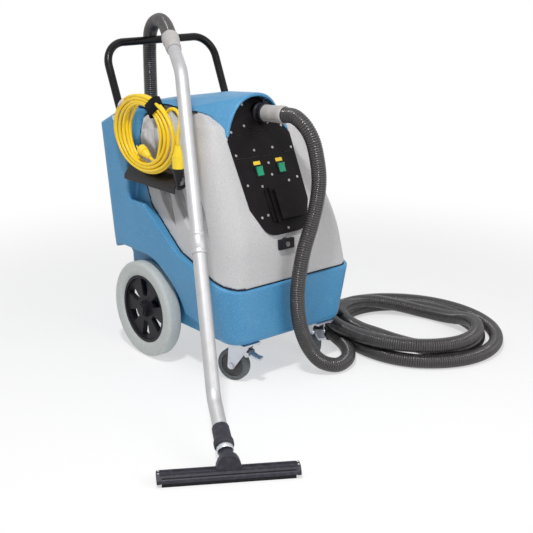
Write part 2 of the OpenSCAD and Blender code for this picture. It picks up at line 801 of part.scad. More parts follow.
// From the coil it runs behind the machine, up its back and over the handle to the wand.
rise_points = [[300, -256, 70], [327, -207, 70], [352, -150, 66], [372, -88, 48], [383, -20, 28],
    [368, 70, 23], [312, 160, 23], [238, 240, 23], [160, 300, 26], [92, 326, 60], [48, 330, 130],
    [22, 322, 220], [8, 312, 320], [0, 304, 430], [-3, 299, 540], [-4, 296, 650], [-5, 294, 760],
    [-6, 293, 860], [-8, 289, 920], [-11, 278, 967], [-18, 250, 995], [-30, 206, 1010],
    [-48, 160, 1013], [-68, 112, 1005], [-90, 67, 991]];

module hose_drop() {
    start = inlet_at + (cuff_len - socket) * inlet_dir;
    color("dimgray") tube(concat([start, start + 30 * inlet_dir], drop_points), hose_d / 2);
}

module hose_rise() {
    end = wand_end - grip * wand_end_dir;
    color("dimgray") tube(concat(rise_points, [end + 26 * wand_end_dir, end]), hose_d / 2);
}

// Three turns on the floor, drawn out a little towards the front and the back.
coil_x = 516;
coil_y = -415;
coil_rx = 288;
coil_ry = 322;
coil_band = 156;

function oval(rx, ry, n = 48) = [for (i = [0:n - 1]) [rx * cos(360 * i / n), ry * sin(360 * i / n)]];

module hose_coil() {
    color("dimgray") translate([coil_x, coil_y, 0]) linear_extrude(hose_d) difference() {
        polygon(oval(coil_rx, coil_ry));
        polygon(oval(coil_rx - coil_band, coil_ry - coil_band));
    }
}

// Band round the turns where they lie together.
module hose_strap() {
    strap_w = 40;
    wide = 104;
    high = 92;
    color(black) translate([308, -288, high / 2]) rotate([0, 0, 62]) rotate([90, 0, 90])
        linear_extrude(strap_w, center = true) difference() {
            square([wide + 6, high], center = true);
            square([wide, high - 6], center = true);
        }
}

module on_inlet() {
    translate(inlet_at) rotate([87, 0, 3]) children();
}

module inlet_cuff() {
    color(grey) difference() {
        on_inlet() translate([0, 0, -30])
            cylinder(d1 = inlet_bore - 2, d2 = hose_d + 3, h = cuff_len + 30, $fn = fine);
        on_panel() translate([-far, -far, -far]) cube([2 * far, 2 * far, far]);
        on_inlet() translate([0, 0, cuff_len - socket]) cylinder(d = hose_d + 0.2, h = 10, $fn = fine);
    }
}

// ---------- wand ----------

// The wand lies in one upright plane: distance along the floor, then height.
wand_path = [[0, 34], [214, 122], [702, 905], [930, 976]];

module wand_plane() {
    translate([head_x - 1, head_y - 2, 0]) rotate([0, 0, wand_turn]) children();
}

function bearing(i) = let (d = wand_path[i + 1] - wand_path[i]) atan2(d[1], d[0]);
function reach(i) = norm(wand_path[i + 1] - wand_path[i]);
function cut_back(i) = wand_r * tan((abs(bearing(i) - bearing(i - 1))) / 2);

// Handle end of the wand, and the way it points there.
wand_end = [head_x - 1 + wand_path[3][0] * cos(wand_turn), head_y - 2 + wand_path[3][0] * sin(wand_turn),
    wand_path[3][1]];
wand_end_dir = [cos(bearing(2)) * cos(wand_turn), cos(bearing(2)) * sin(wand_turn), sin(bearing(2))];

// Frame at a point of the path, with Z along the next stretch.
module along_wand(i, distance = 0) {
    wand_plane() translate([wand_path[i][0], 0, wand_path[i][1]]) rotate([0, 90 - bearing(i), 0])
        translate([0, 0, distance]) children();
}

// Centreline round corner i of the path: so far before the corner, and so far after it.
function wand_dir(angle) = [cos(angle), sin(angle)];
function wand_route(i, before, after, up) = let (
    from = bearing(i - 1), to = bearing(i), corner = wand_path[i], n = 6,
    centre = corner + wand_dir(to) * cut_back(i) + up * wand_r * wand_dir(to + 90)
) concat(
    [corner - wand_dir(from) * before],
    [for (k = [0:n]) centre - up * wand_r * wand_dir(from + (to - from) * k / n + 90)],
    [corner + wand_dir(to) * after]);

// up is 1 where the wand steepens at corner i and -1 where it flattens.
module wand_tube(i, before, after, up) {
    wand_plane() difference() {
        tube([for (p = wand_route(i, before, after, up)) [p[0], 0, p[1]]], wand_d / 2, 24);
        tube([for (p = wand_route(i, before + 2, after + 2, up)) [p[0], 0, p[1]]],
            wand_d / 2 - wand_wall, 24);
    }
}

joint_at = 420;      // length of the lower tube above its bend

module wand_lower() { color("silver") wand_tube(1, reach(0) - 60, joint_at, 1); }
module wand_upper() { color("silver") wand_tube(2, reach(1) - joint_at, reach(2) - 30, -1); }

// Sleeve over the joint of the two tubes.
module wand_sleeve() {
    color("silver") along_wand(1, joint_at - 30) difference() {
        cylinder(d = wand_d + 4, h = 60, $fn = fine);
        translate([0, 0, -1]) cylinder(d = wand_d + 0.1, h = 62, $fn = fine);
    }
}

module wand_cuff() {
    cuff = 92;
    color(grey) along_wand(2, reach(2) - cuff) difference() {
        union() {
            cylinder(d1 = wand_d + 6, d2 = hose_d + 8, h = cuff - 10, $fn = fine);
            translate([0, 0, cuff - 10]) cylinder(d = hose_d + 8, h = 10, $fn = fine);
        }
        translate([0, 0, -1]) cylinder(d = wand_d + 0.1, h = cuff - grip - 4, $fn = fine);
        translate([0, 0, cuff - grip]) cylinder(d = hose_d + 0.2, h = far, $fn = fine);
    }
}

// ---------- squeegee ----------

module head_place() {
    translate([head_x, head_y, 0]) rotate([0, 0, head_turn]) children();
}

module squeegee_head() {
    rail = 12;
    color(black) difference() {
        union() {
            // long channel body with sloped flanks and a rail along its top
            head_place() translate([-head_len / 2, 0, 0]) rotate([90, 0, 90]) linear_extrude(head_len)
                polygon([[-head_depth / 2, 10], [head_depth / 2, 10], [head_depth / 2, 20],
                    [head_depth / 2 - 8, 28], [rail, 34], [rail, 40], [-rail, 40], [-rail, 34],
                    [8 - head_depth / 2, 28], [-head_depth / 2, 20]]);
            // end caps
            for (s = [-1, 1]) head_place() translate([s * (head_len / 2 - 5) - 5, -head_depth / 2, 8])
                cube([10, head_depth, 26]);
            // gusset that spreads the neck's load along the rail
            head_place() rotate([90, 0, 0]) linear_extrude(16, center = true)
                polygon([[-62, 38], [62, 38], [20, 74], [-20, 74]]);
            along_wand(0, 10) cylinder(d = wand_d + 12, h = 46, $fn = fine);
            along_wand(0, 0) cylinder(d = wand_d + 12, h = 12, $fn = fine);
        }
        // slot that the blades hang in
        head_place() translate([-head_len / 2 + 12, -head_depth / 2 + 6, 0])
            cube([head_len - 24, head_depth - 12, 24]);
        head_place() translate([-far, -far, -far]) cube([2 * far, 2 * far, far + 8]);
    }
}

// Front and rear rubber blades.
module squeegee_blades() {
    blade = 3;
    color([0.12, 0.12, 0.12]) for (s = [-1, 1]) head_place()
        translate([-head_len / 2 + 12 + gap, s * (head_depth / 2 - 6 - blade / 2 - gap) - blade / 2, 0])
            cube([head_len - 24 - 2 * gap, blade, 24 - gap]);
}

module squeegee_screws() {
    color(steel) for (s = [-1, 1], t = [-1, 1]) head_place()
        translate([s * (head_len / 2 - 5), t * 16, 34]) cylinder(d = 7, h = 2.4, $fn = 24);
}

// Ribbed collar that clamps the wand into the head.
module squeegee_collar() {
    color(black) along_wand(0, 56) difference() {
        union() {
            cylinder(d = wand_d + 16, h = 64, $fn = fine);
            for (z = [6:12:56]) translate([0, 0, z]) cylinder(d = wand_d + 20, h = 5, $fn = fine);
        }
        translate([0, 0, 4]) cylinder(d = wand_d + 0.1, h = 100, $fn = fine);
    }
}

module collar_band() {
    color(steel) along_wand(0, 120) difference() {
        cylinder(d = wand_d + 8, h = 16, $fn = fine);
        translate([0, 0, -1]) cylinder(d = wand_d + 0.1, h = 18, $fn = fine);
    }
}

// ---------- power cord ----------

bracket_z = 606;
bracket_y = -60;
shelf_x = base_hw - 13;     // where the shelf starts to slope
cord_out = base_hw - 4;
coil_y_mid = -30;
coil_z_mid = bracket_z + 107;

// Sloped shelf on each side; the hung cord rests on the left one.
module side_brackets() {
    sheet = 3;
    color(black) both_sides() difference() {
        translate([0, bracket_y + bracket_len / 2, 0]) rotate([90, 0, 0]) linear_extrude(bracket_len)
            polygon([[shelf_x - 60, bracket_z], [shelf_x, bracket_z], [shelf_x + 27, bracket_z - 34],
                [shelf_x + 27, bracket_z - 48], [shelf_x + 27 - sheet, bracket_z - 48],
                [shelf_x + 27 - sheet, bracket_z - 35], [shelf_x - 1, bracket_z - sheet],
                [shelf_x - 60, bracket_z - sheet]]);
        tank_envelope();
        difference() {
            base_skin();
            side_recess();
        }
    }
}

module cord_coil() {
    color(yellow) translate([-cord_out - coil_t, coil_y_mid, coil_z_mid]) rotate([90, 0, 90])
        linear_extrude(coil_t) difference() {
            polygon(oval(168, 118));
            translate([-6, 4]) polygon(oval(68, 84));
        }
}

// Hook-and-loop band round the strands at the top of the coil.
module cord_strap() {
    band_w = 40;
    band_t = 2.5;
    color(black) translate([-cord_out - coil_t, coil_y_mid - 92, coil_z_mid + 44]) difference() {
        translate([-band_t, 0, -band_t]) cube([coil_t + 2 * band_t, band_w, 70 + 2 * band_t]);
        translate([0, -1, 0]) cube([coil_t, band_w + 2, 70]);
    }
}

// Plug at the cord's far end, lying in the bottom of the coil.
module cord_plug() {
    color(yellow) translate([-cord_out - coil_t / 2, coil_y_mid - 34, coil_z_mid - 67.5])
        rotate([-67, 0, 0]) {
        cylinder(d1 = 14, d2 = 26, h = 26, $fn = 32);
        translate([0, 0, 26]) cylinder(d = 30, h = 22, $fn = 32);
        for (x = [-6, 6]) translate([x - 0.8, -3, 48]) cube([1.6, 6, 17]);
        translate([0, 7, 48]) cylinder(d = 5, h = 19, $fn = 24);
    }
}

connector_at = [-cord_out - 20, coil_y_mid - 187, coil_z_mid - 73];

module cord_connector() {
    color(yellow) translate(connector_at) {
        cylinder(d = 34, h = 36, $fn = fine);
        translate([0, 0, 36]) cylinder(d1 = 30, d2 = 16, h = 30, $fn = fine);
    }
}

// Short lead from the machine, plugged into the cord's connector.
gland_at = [-tank_side_at(578), -190, 578];
lead_plug = 38;      // length of the plug on the lead
pigtail_points = [connector_at - [0, 0, lead_plug], connector_at + [0, 2, -46 - 4],
    connector_at + [4, 8, -60], connector_at + [14, 16, -64], gland_at - [20, 0, 0]];

module pigtail() {
    color(black) tube(pigtail_points, 5.5);
}

// Plug on the lead, up against the connector, and the nut where the lead leaves the tank.
module cord_gland() {
    color(black) translate(connector_at - [0, 0, lead_plug])
        cylinder(d1 = 20, d2 = 34, h = lead_plug, $fn = fine);
    color(steel) difference() {
        translate(gland_at) rotate([0, -90, 0]) translate([0, 0, -10]) cylinder(d = 24, h = 30, $fn = fine);
        tank_envelope();
    }
}

// ---------- drain valve ----------

lever_h = 30;

// Frame at the drain on the rear wall, with Z pointing out behind.
module drain_place() {
    translate([drain_x, drain_y, drain_z]) rotate([-90, 0, 0]) children();
}

module drain_valve() {
    color(black) drain_place() difference() {
        union() {
            cylinder(r = drain_flange_r, h = 14, $fn = fine);
            cylinder(d = drain_bore + 8, h = drain_len, $fn = fine);
            translate([0, 0, 34]) sphere(r = drain_bore / 2 + 10, $fn = fine);
            translate([0, 0, 34]) rotate([90, 0, 0]) cylinder(r = 9, h = lever_h + 8, $fn = fine);
        }
        translate([0, 0, 6]) cylinder(d = drain_bore, h = far, $fn = fine);
        translate([0, 0, 34]) rotate([90, 0, 0]) translate([0, 0, lever_h - 6])
            cylinder(r = 4 + fit, h = 40, $fn = fine);
    }
}

module drain_lever() {
    color("firebrick") drain_place() translate([0, 0, 34]) rotate([90, 0, 0]) {
        translate([0, 0, lever_h - 6 + gap]) cylinder(r = 4, h = 14, $fn = fine);
        translate([0, 0, lever_h + 8 + gap]) cylinder(r = 11, h = 5, $fn = fine);
        translate([0, -7, lever_h + 8 + gap]) cube([66, 14, 5]);
        translate([66, 0, lever_h + 8 + gap]) cylinder(r = 7, h = 5, $fn = fine);
    }
}

place() base_tank();
place() recovery_tank();
place() hood();
place() tank_seal();
place() hood_seal();
place() inlet_plate();
place() middle_plate();
place() switch_plate();
place() cover_box();
place() panel_screws();
place() switch_bezels();
place() left_rocker();
place() right_rocker();
place() label_plates();
place() breaker_case();
place() breaker_button();
place() inlet_cuff();
place() hose_drop();
place() hose_coil();
place() hose_rise();
place() hose_strap();
place() wand_cuff();
place() wand_upper();
place() wand_lower();
place() wand_sleeve();
place() squeegee_collar();
place() collar_band();
place() squeegee_head();
place() squeegee_blades();
place() squeegee_screws();
place() handle();
place() handle_bolts();
place() axle();
place() left_tyre();
place() right_tyre();
place() left_hub();
place() right_hub();
place() left_hub_cap();
place() right_hub_cap();
place() caster_plates();
place() left_caster_fork();
place() right_caster_fork();
place() left_caster_axle();
place() right_caster_axle();
place() left_caster_hub();
place() right_caster_hub();
place() left_caster_tyre();
place() right_caster_tyre();
place() left_brake_pedal();
place() right_brake_pedal();
place() side_brackets();
place() cord_coil();
place() cord_strap();
place() cord_plug();
place() cord_connector();
place() pigtail();
place() cord_gland();
place() drain_valve();
place() drain_lever();
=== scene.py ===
"""Walk-behind carpet cleaner with its vacuum hose, wand and power cord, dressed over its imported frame.

All sizes are in millimetres in the machine's own axes: X across it, its front towards -Y, and the
origin on the floor below the rear axle. Datum turns them into metres in the frame.
"""

import logging
import math
from abc import ABC, abstractmethod
from dataclasses import dataclass, field
from enum import Enum
from typing import Any, Callable, Optional, Sequence, Union

import bmesh
import bpy
import numpy as np
from mathutils import Matrix, Vector

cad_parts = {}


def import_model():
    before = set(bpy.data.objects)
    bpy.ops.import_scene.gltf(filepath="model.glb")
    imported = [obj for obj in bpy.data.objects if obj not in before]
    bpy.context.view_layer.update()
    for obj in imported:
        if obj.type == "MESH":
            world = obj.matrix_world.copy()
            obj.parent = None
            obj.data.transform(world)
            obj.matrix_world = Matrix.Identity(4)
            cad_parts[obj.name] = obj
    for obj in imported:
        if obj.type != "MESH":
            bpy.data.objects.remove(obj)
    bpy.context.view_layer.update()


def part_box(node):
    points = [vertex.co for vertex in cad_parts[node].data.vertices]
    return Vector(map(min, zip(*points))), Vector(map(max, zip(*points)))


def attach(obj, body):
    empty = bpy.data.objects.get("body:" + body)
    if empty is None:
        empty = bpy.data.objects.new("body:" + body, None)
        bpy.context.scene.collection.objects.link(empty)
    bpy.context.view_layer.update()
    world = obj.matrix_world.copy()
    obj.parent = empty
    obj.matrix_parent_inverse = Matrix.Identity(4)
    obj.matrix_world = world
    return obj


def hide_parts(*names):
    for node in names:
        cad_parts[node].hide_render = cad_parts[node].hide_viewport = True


LOG = logging.getLogger("carpet_cleaner")
MM = 0.001
WELD = 1e-5
SPAN_SAMPLES = 40
EDGE_ANGLE = 34.0
WAVE_TURN = 6.28
WHITE = (1.0, 1.0, 1.0)
Colour = tuple[float, float, float]
Triple = tuple[float, float, float]
Value = Union["Socket", float]

# Where the hose leaves the panel, and the way it leaves
INLET_AT: Triple = (26.0, -226.5, 770.0)
INLET_WAY: Triple = (0.0523, -0.9973, 0.0523)


def srgb(red: int, green: int, blue: int) -> Colour:
    """Turns a colour as it looks, 0 to 255, into the linear values that shaders use."""
    return tuple(
        (v / 255 / 12.92) if v <= 10 else ((v / 255 + 0.055) / 1.055) ** 2.4 for v in (red, green, blue)
    )


# ---------------------------------------------------------------- where things are


@dataclass(frozen=True)
class Datum:
    """The machine's own origin, given in the frame in metres."""

    x: float
    y: float

    @classmethod
    def from_wheels(cls) -> "Datum":
        """Finds the origin midway between the two rear tyres."""
        left_low, left_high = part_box("left_tyre")
        _, right_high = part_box("right_tyre")
        return cls((left_low.x + right_high.x) / 2, (left_low.y + left_high.y) / 2)

    def at(self, point: Sequence[float]) -> Vector:
        """Gives a machine point, in millimetres, as a frame point in metres."""
        return Vector((self.x + point[0] * MM, self.y + point[1] * MM, point[2] * MM))

    def all(self, points: Sequence[Sequence[float]]) -> np.ndarray:
        """Gives machine points, in millimetres, as an array of frame points in metres."""
        return np.asarray(points, float) * MM + np.array([self.x, self.y, 0.0])


# ---------------------------------------------------------------- shader writing


@dataclass(frozen=True)
class Socket:
    """One output of a shader node; arithmetic on it adds Math nodes."""

    writer: "Nodes"
    out: bpy.types.NodeSocket

    def _math(self, operation: str, first: Value, second: Value) -> "Socket":
        """Adds one Math node on two values."""
        return self.writer.node("ShaderNodeMath", {"operation": operation}, {0: first, 1: second})

    def __add__(self, other: Value) -> "Socket":
        """Adds a value."""
        return self._math("ADD", self, other)

    def __radd__(self, other: Value) -> "Socket":
        """Adds itself to a value."""
        return self._math("ADD", other, self)

    def __sub__(self, other: Value) -> "Socket":
        """Takes a value away."""
        return self._math("SUBTRACT", self, other)

    def __rsub__(self, other: Value) -> "Socket":
        """Takes itself away from a value."""
        return self._math("SUBTRACT", other, self)

    def __mul__(self, other: Value) -> "Socket":
        """Multiplies by a value."""
        return self._math("MULTIPLY", self, other)

    def __rmul__(self, other: Value) -> "Socket":
        """Multiplies a value by itself."""
        return self._math("MULTIPLY", other, self)

    def between(self, low: float, high: float) -> "Socket":
        """Runs smoothly from zero at low to one at high."""
        settings = {"interpolation_type": "SMOOTHSTEP"}
        return self.writer.node("ShaderNodeMapRange", settings, {0: self, 1: low, 2: high})


class Nodes:
    """A node tree, of a material or of the world, that is written as expressions."""

    def __init__(self, tree: bpy.types.NodeTree, output: str) -> None:
        """Empties a tree and gives it its output.

        Args:
            tree: The tree.
            output: The type of its output node.
        """
        self.tree = tree
        self.tree.nodes.clear()
        self.out = self.tree.nodes.new(output)

    def node(
        self, kind: str, settings: Optional[dict[str, Any]] = None,
        inputs: Optional[dict[Union[int, str], Any]] = None, output: Union[int, str] = 0,
    ) -> Socket:
        """Adds any node.

        Args:
            kind: The node's type.
            settings: Its own settings, set first.
            inputs: The values or links of its sockets.
            output: Which of its outputs is wanted.

        Returns:
            That output.
        """
        made = self.tree.nodes.new(kind)
        for key, value in (settings or {}).items():
            setattr(made, key, value)
        for key, value in (inputs or {}).items():
            self.feed(made.inputs[key], value)
        return Socket(self, made.outputs[output])

    def feed(self, socket: bpy.types.NodeSocket, value: Any) -> None:
        """Links or sets one socket."""
        if isinstance(value, Socket):
            self.tree.links.new(value.out, socket)
        elif isinstance(value, tuple) and len(value) == 3 and socket.type == "RGBA":
            socket.default_value = (*value, 1)
        else:
            socket.default_value = value

    def plain_rays(self) -> Socket:
        """Is one for the rays of the lens, of mirrors and of glass, which see plain white."""
        lens, mirror, glass = (self.node("ShaderNodeLightPath", output=f"Is {kind} Ray")
                               for kind in ("Camera", "Glossy", "Transmission"))
        return lens + mirror + glass


class Shader(Nodes):
    """A Principled material whose varying values are written as expressions."""

    def __init__(self, name: str) -> None:
        """Starts an empty material.

        Args:
            name: The finish's name.
        """
        self.material = bpy.data.materials.new(name)
        self.material.use_nodes = True
        super().__init__(self.material.node_tree, "ShaderNodeOutputMaterial")
        self.surface = self.tree.nodes.new("ShaderNodeBsdfPrincipled")
        self.tree.links.new(self.surface.outputs[0], self.out.inputs[0])

    def set(self, **values: Any) -> None:
        """Sets the surface's sockets, named with _ for a space."""
        for key, value in values.items():
            self.feed(self.surface.inputs[key.replace("_", " ").title().replace("Ior", "IOR")], value)

    def place(self, stretch: Triple = (1, 1, 1)) -> Socket:
        """Gives the piece's own coordinates in metres, stretched along each axis."""
        own = self.node("ShaderNodeTexCoord", output="Object")
        if stretch == (1, 1, 1):
            return own
        return self.node("ShaderNodeVectorMath", {"operation": "MULTIPLY"}, {0: own, 1: stretch})

    def noise(self, size: float, detail: float = 2, stretch: Triple = (1, 1, 1)) -> Socket:
        """Gives noise from zero to one.

        Args:
            size: How large its spots are, in millimetres.
            detail: How many finer layers it has.
            stretch: A factor on each axis.

        Returns:
            The noise value.
        """
        inputs = {"Vector": self.place(stretch), "Scale": 1 / (size * MM), "Detail": detail}
        return self.node("ShaderNodeTexNoise", None, inputs)

    def mix(self, amount: Value, first: Any, second: Any) -> Socket:
        """Blends two colours by an amount from zero to one."""
        inputs = {"Factor": amount, 6: first, 7: second}
        return self.node("ShaderNodeMix", {"data_type": "RGBA"}, inputs, 2)

    def bump(self, height: Socket, depth: float, strength: float = 1.0) -> Socket:
        """Raises the surface by a height times depth, in millimetres."""
        inputs = {"Strength": strength, "Distance": depth * MM, "Height": height}
        return self.node("ShaderNodeBump", None, inputs)


# ---------------------------------------------------------------- finishes


@dataclass(frozen=True)
class Finish(ABC):
    """A surface finish and the record's slot that it belongs to."""

    name: str
    slot: str
    sheen: float = field(default=0.5, kw_only=True)

    def material(self) -> bpy.types.Material:
        """Builds the finish once and gives it again after that."""
        known = bpy.data.materials.get(self.name)
        if known is not None:
            return known
        shader = Shader(self.name)
        shader.surface.inputs["Specular IOR Level"].default_value = self.sheen
        self.draw(shader)
        return shader.material

    @abstractmethod
    def draw(self, shader: Shader) -> None:
        """Writes the finish into a shader."""


@dataclass(frozen=True)
class Rotomoulded(Finish):
    """Granite-flecked moulded polyethylene with a faint orange peel."""

    colour: Colour = (0.5, 0.5, 0.5)
    pale: Colour = (0.7, 0.7, 0.7)
    dark: Colour = (0.3, 0.3, 0.3)
    fleck: float = 2.2
    gloss: float = 0.36

    def draw(self, shader: Shader) -> None:
        """Flecks, slow mottling, peel and rubbed patches."""
        coarse, fine, slow = shader.noise(self.fleck, 3), shader.noise(self.fleck * 0.6, 1), shader.noise(90, 3)
        pale = shader.mix(coarse.between(0.5, 0.66) * 0.8, self.colour, self.pale)
        flecked = shader.mix(fine.between(0.56, 0.72) * 0.75, pale, self.dark)
        shader.set(
            base_color=shader.mix(slow.between(0.3, 0.75) * 0.12, flecked, self.pale),
            roughness=self.gloss + 0.14 * shader.noise(35, 4),
            normal=shader.bump(shader.noise(3.4, 2) + 0.35 * fine, 0.11),
        )


@dataclass(frozen=True)
class Painted(Finish):
    """Satin paint or powder coat with fine texture and a little dust."""

    colour: Colour = (0.01, 0.01, 0.011)
    dust: Colour = (0.06, 0.055, 0.055)
    gloss: float = 0.38
    peel: float = 1.1

    def draw(self, shader: Shader) -> None:
        """Fine texture under a thin, uneven film of dust."""
        film = shader.noise(24, 5).between(0.42, 0.85)
        shader.set(
            base_color=shader.mix(film * 0.35, self.colour, self.dust),
            roughness=self.gloss + 0.2 * film,
            normal=shader.bump(shader.noise(self.peel, 2), 0.05),
        )


@dataclass(frozen=True)
class Metal(Finish):
    """Bare or plated metal with drawn streaks and handled patches."""

    colour: Colour = (0.8, 0.8, 0.8)
    gloss: float = 0.22
    streak: Triple = (1, 1, 1)
    grain: float = 1.6

    def draw(self, shader: Shader) -> None:
        """Streaks and cloudy patches in the roughness, and a fine grain."""
        cloud, drawn = shader.noise(28, 4), shader.noise(self.grain, 3, self.streak)
        tint = tuple(c * 0.82 for c in self.colour)
        shader.set(
            base_color=shader.mix(cloud.between(0.35, 0.8) * 0.5, self.colour, tint),
            roughness=self.gloss + 0.12 * cloud + 0.08 * drawn,
            metallic=1.0,
            normal=shader.bump(drawn, 0.02),
        )


@dataclass(frozen=True)
class Rubber(Finish):
    """Rubber or soft vinyl with bloom and scuffs."""

    colour: Colour = (0.02, 0.02, 0.02)
    bloom: Colour = (0.08, 0.08, 0.08)
    gloss: float = 0.55
    scuff: float = 9.0

    def draw(self, shader: Shader) -> None:
        """Cloudy bloom, fine scuffs and a slightly grained skin."""
        cloud, fine = shader.noise(self.scuff, 5), shader.noise(0.9, 2)
        shader.set(
            base_color=shader.mix(cloud.between(0.4, 0.78) * 0.5 + 0.1 * fine, self.colour, self.bloom),
            roughness=self.gloss + 0.18 * cloud,
            normal=shader.bump(fine + 0.5 * cloud, 0.06),
        )


@dataclass(frozen=True)
class RibbedVinyl(Finish):
    """Hose vinyl that is glossier on its ribs than in its grooves, with painted shade darkening the grooves."""

    # The vinyl's own colour on the crests, and painted shade for the grooves between them.
    crest: Colour = srgb(66, 63, 63)
    groove_painted_shade: Colour = srgb(16, 15, 16)
    dust: Colour = srgb(98, 94, 91)

    def draw(self, shader: Shader) -> None:
        """Darkens each point by how low it sits on its rib, as painted shade, and lays dust and scuffs over it."""
        height = shader.node("ShaderNodeAttribute", {"attribute_name": "rib"}, output="Fac")
        film = shader.noise(18, 5).between(0.45, 0.85)
        # Painted shade: the lower a point sits in its groove, the darker it is drawn.
        ribs = shader.mix(height, self.groove_painted_shade, self.crest)
        shader.set(
            base_color=shader.mix(film * 0.22, ribs, self.dust),
            roughness=0.3 - 0.14 * height + 0.12 * film,
            normal=shader.bump(shader.noise(1.2, 2), 0.03),
        )


@dataclass(frozen=True)
class CordJacket(Finish):
    """Glossy extruded cord jacket or moulded plug."""

    colour: Colour = (0.9, 0.7, 0.05)
    shade: Colour = (0.7, 0.45, 0.02)
    gloss: float = 0.3

    def draw(self, shader: Shader) -> None:
        """Uneven colour from handling, and the wavy skin that laid conductors leave."""
        cloud, lay = shader.noise(14, 4), shader.noise(5, 1)
        shader.set(
            base_color=shader.mix(cloud.between(0.45, 0.85) * 0.35, self.colour, self.shade),
            roughness=self.gloss + 0.15 * cloud,
            normal=shader.bump(lay + 0.2 * shader.noise(0.8), 0.16),
        )


@dataclass(frozen=True)
class Webbing(Finish):
    """Woven or looped strap."""

    colour: Colour = (0.012, 0.012, 0.014)
    lint: Colour = (0.09, 0.09, 0.1)
    pitch: float = 1.5

    def draw(self, shader: Shader) -> None:
        """Crossed threads with a little lint."""
        scale = {"Scale": 1 / (self.pitch * MM * WAVE_TURN), "Distortion": 1.5, "Vector": shader.place()}
        warp = shader.node("ShaderNodeTexWave", {"bands_direction": "DIAGONAL"}, scale, "Fac")
        weft = shader.node("ShaderNodeTexWave", {"bands_direction": "Z"}, scale, "Fac")
        lint = shader.noise(1.2, 4).between(0.55, 0.8)
        shader.set(
            base_color=shader.mix(lint * 0.6, self.colour, self.lint),
            roughness=0.8 + 0.15 * lint,
            normal=shader.bump(warp + weft, 0.3),
        )


@dataclass(frozen=True)
class Backdrop(Finish):
    """White floor that shows plain white to the lens and still takes the object's shadow."""

    shadow: float = 0.45
    centre: Triple = (0.35, 0.1, 0.0)
    fade: tuple[float, float] = (0.9, 2.2)

    def draw(self, shader: Shader) -> None:
        """Blends plain white with a lit white surface, which fades out away from the machine."""
        shader.tree.nodes.remove(shader.surface)
        away = shader.node("ShaderNodeVectorMath", {"operation": "DISTANCE"},
                           {0: shader.place(), 1: self.centre}, "Value")
        lit = shader.node("ShaderNodeBsdfDiffuse", None, {"Color": WHITE})
        plain = shader.node("ShaderNodeEmission", None, {"Color": WHITE, "Strength": 1.0})
        amount = shader.plain_rays() * (1 - self.shadow * (1 - away.between(*self.fade)))
        both = shader.node("ShaderNodeMixShader", None, {0: amount, 1: lit, 2: plain})
        shader.feed(shader.out.inputs[0], both)


class Finishes(Enum):
    """Every finish that the machine is made in."""

    BLUE = Rotomoulded("blue_shell_finish", "blue_shell", srgb(70, 140, 186), srgb(104, 166, 204),
                       srgb(42, 112, 162), 2.4, 0.34, sheen=0.4)
    GREY = Rotomoulded("grey_shell_finish", "grey_shell", srgb(190, 189, 190), srgb(212, 211, 212),
                       srgb(146, 146, 152), 2.2, 0.44, sheen=0.35)
    SEAL = Rubber("seal_foam", "seals", srgb(30, 34, 44), srgb(56, 62, 76), sheen=0.2)
    PANEL = Painted("panel_black", "panel", srgb(18, 15, 17), srgb(34, 30, 33), 0.42, 0.8, sheen=0.14)
    PAINT = Painted("handle_black", "wand", srgb(14, 12, 15), srgb(40, 33, 37), 0.24, 2.4, sheen=0.22)
    BRACKET = Painted("bracket_black", "black_plastic", srgb(20, 18, 22), srgb(48, 44, 52), 0.3, 1.6,
                      sheen=0.25)
    MOULDED = Rubber("moulded_black", "black_plastic", srgb(24, 23, 28), srgb(52, 50, 60), 0.42, 12, sheen=0.22)
    HEAD = Rubber("head_black", "black_plastic", srgb(44, 42, 50), srgb(78, 76, 88), 0.4, 14, sheen=0.3)
    BLADE = Rubber("blade_rubber", "blades", srgb(22, 20, 24), srgb(50, 48, 54), 0.5, sheen=0.2)
    CUFF = Rubber("cuff_vinyl", "cuffs", srgb(176, 173, 171), srgb(192, 188, 187), 0.42, 16)
    # Hose vinyl whose grooves are darkened with painted shade.
    HOSE = RibbedVinyl("hose_vinyl", "hose", sheen=0.5)
    TYRE = Rubber("grey_tyre", "tyres", srgb(188, 193, 191), srgb(206, 210, 208), 0.55, 11)
    CASTER_TYRE = Rubber("caster_rubber", "caster_tyres", srgb(84, 88, 92), srgb(122, 126, 128), 0.5, 6)
    CASTER_HUB = Rubber("caster_hub", "caster_hubs", srgb(60, 58, 62), srgb(96, 92, 96), 0.4, 8)
    ALUMINIUM = Metal("polished_aluminium", "wand", (0.52, 0.52, 0.53), 0.43, (1, 1, 0.06), 1.4)
    ZINC = Metal("zinc_plate", "caster_steel", (0.6, 0.62, 0.67), 0.26, (1, 1, 1), 2.2)
    SCREW = Metal("screw_steel", "screws", (0.46, 0.45, 0.44), 0.3, (1, 1, 1), 0.7)
    CORD = CordJacket("cord_yellow", "cord", srgb(250, 212, 30), srgb(228, 170, 8))
    PLUG = CordJacket("plug_yellow", "cord", srgb(250, 216, 46), srgb(232, 186, 24), 0.36)
    LEAD = CordJacket("lead_black", "straps", srgb(20, 19, 22), srgb(44, 42, 48), 0.34, sheen=0.25)
    TAG = CordJacket("cord_tag_white", "labels", srgb(236, 226, 222), srgb(214, 196, 196), 0.4)
    STRAP = Webbing("strap_black", "straps", srgb(20, 19, 22), srgb(62, 60, 66), sheen=0.15)
    ROCKER = CordJacket("rocker_green", "rockers", srgb(28, 150, 110), srgb(18, 118, 88), 0.25)
    PLATE = CordJacket("label_yellow", "labels", srgb(240, 204, 62), srgb(222, 180, 40), 0.45)
    LEVER = CordJacket("lever_red", "drain_red", srgb(184, 34, 34), srgb(140, 20, 24), 0.32)
    FLOOR = Backdrop("studio_floor", "floor")


# ---------------------------------------------------------------- mesh work


def add_object(name: str, data: bpy.types.ID) -> bpy.types.Object:
    """Puts a mesh, a lamp or a camera in the scene."""
    made = bpy.data.objects.new(name, data)
    bpy.context.scene.collection.objects.link(made)
    return made


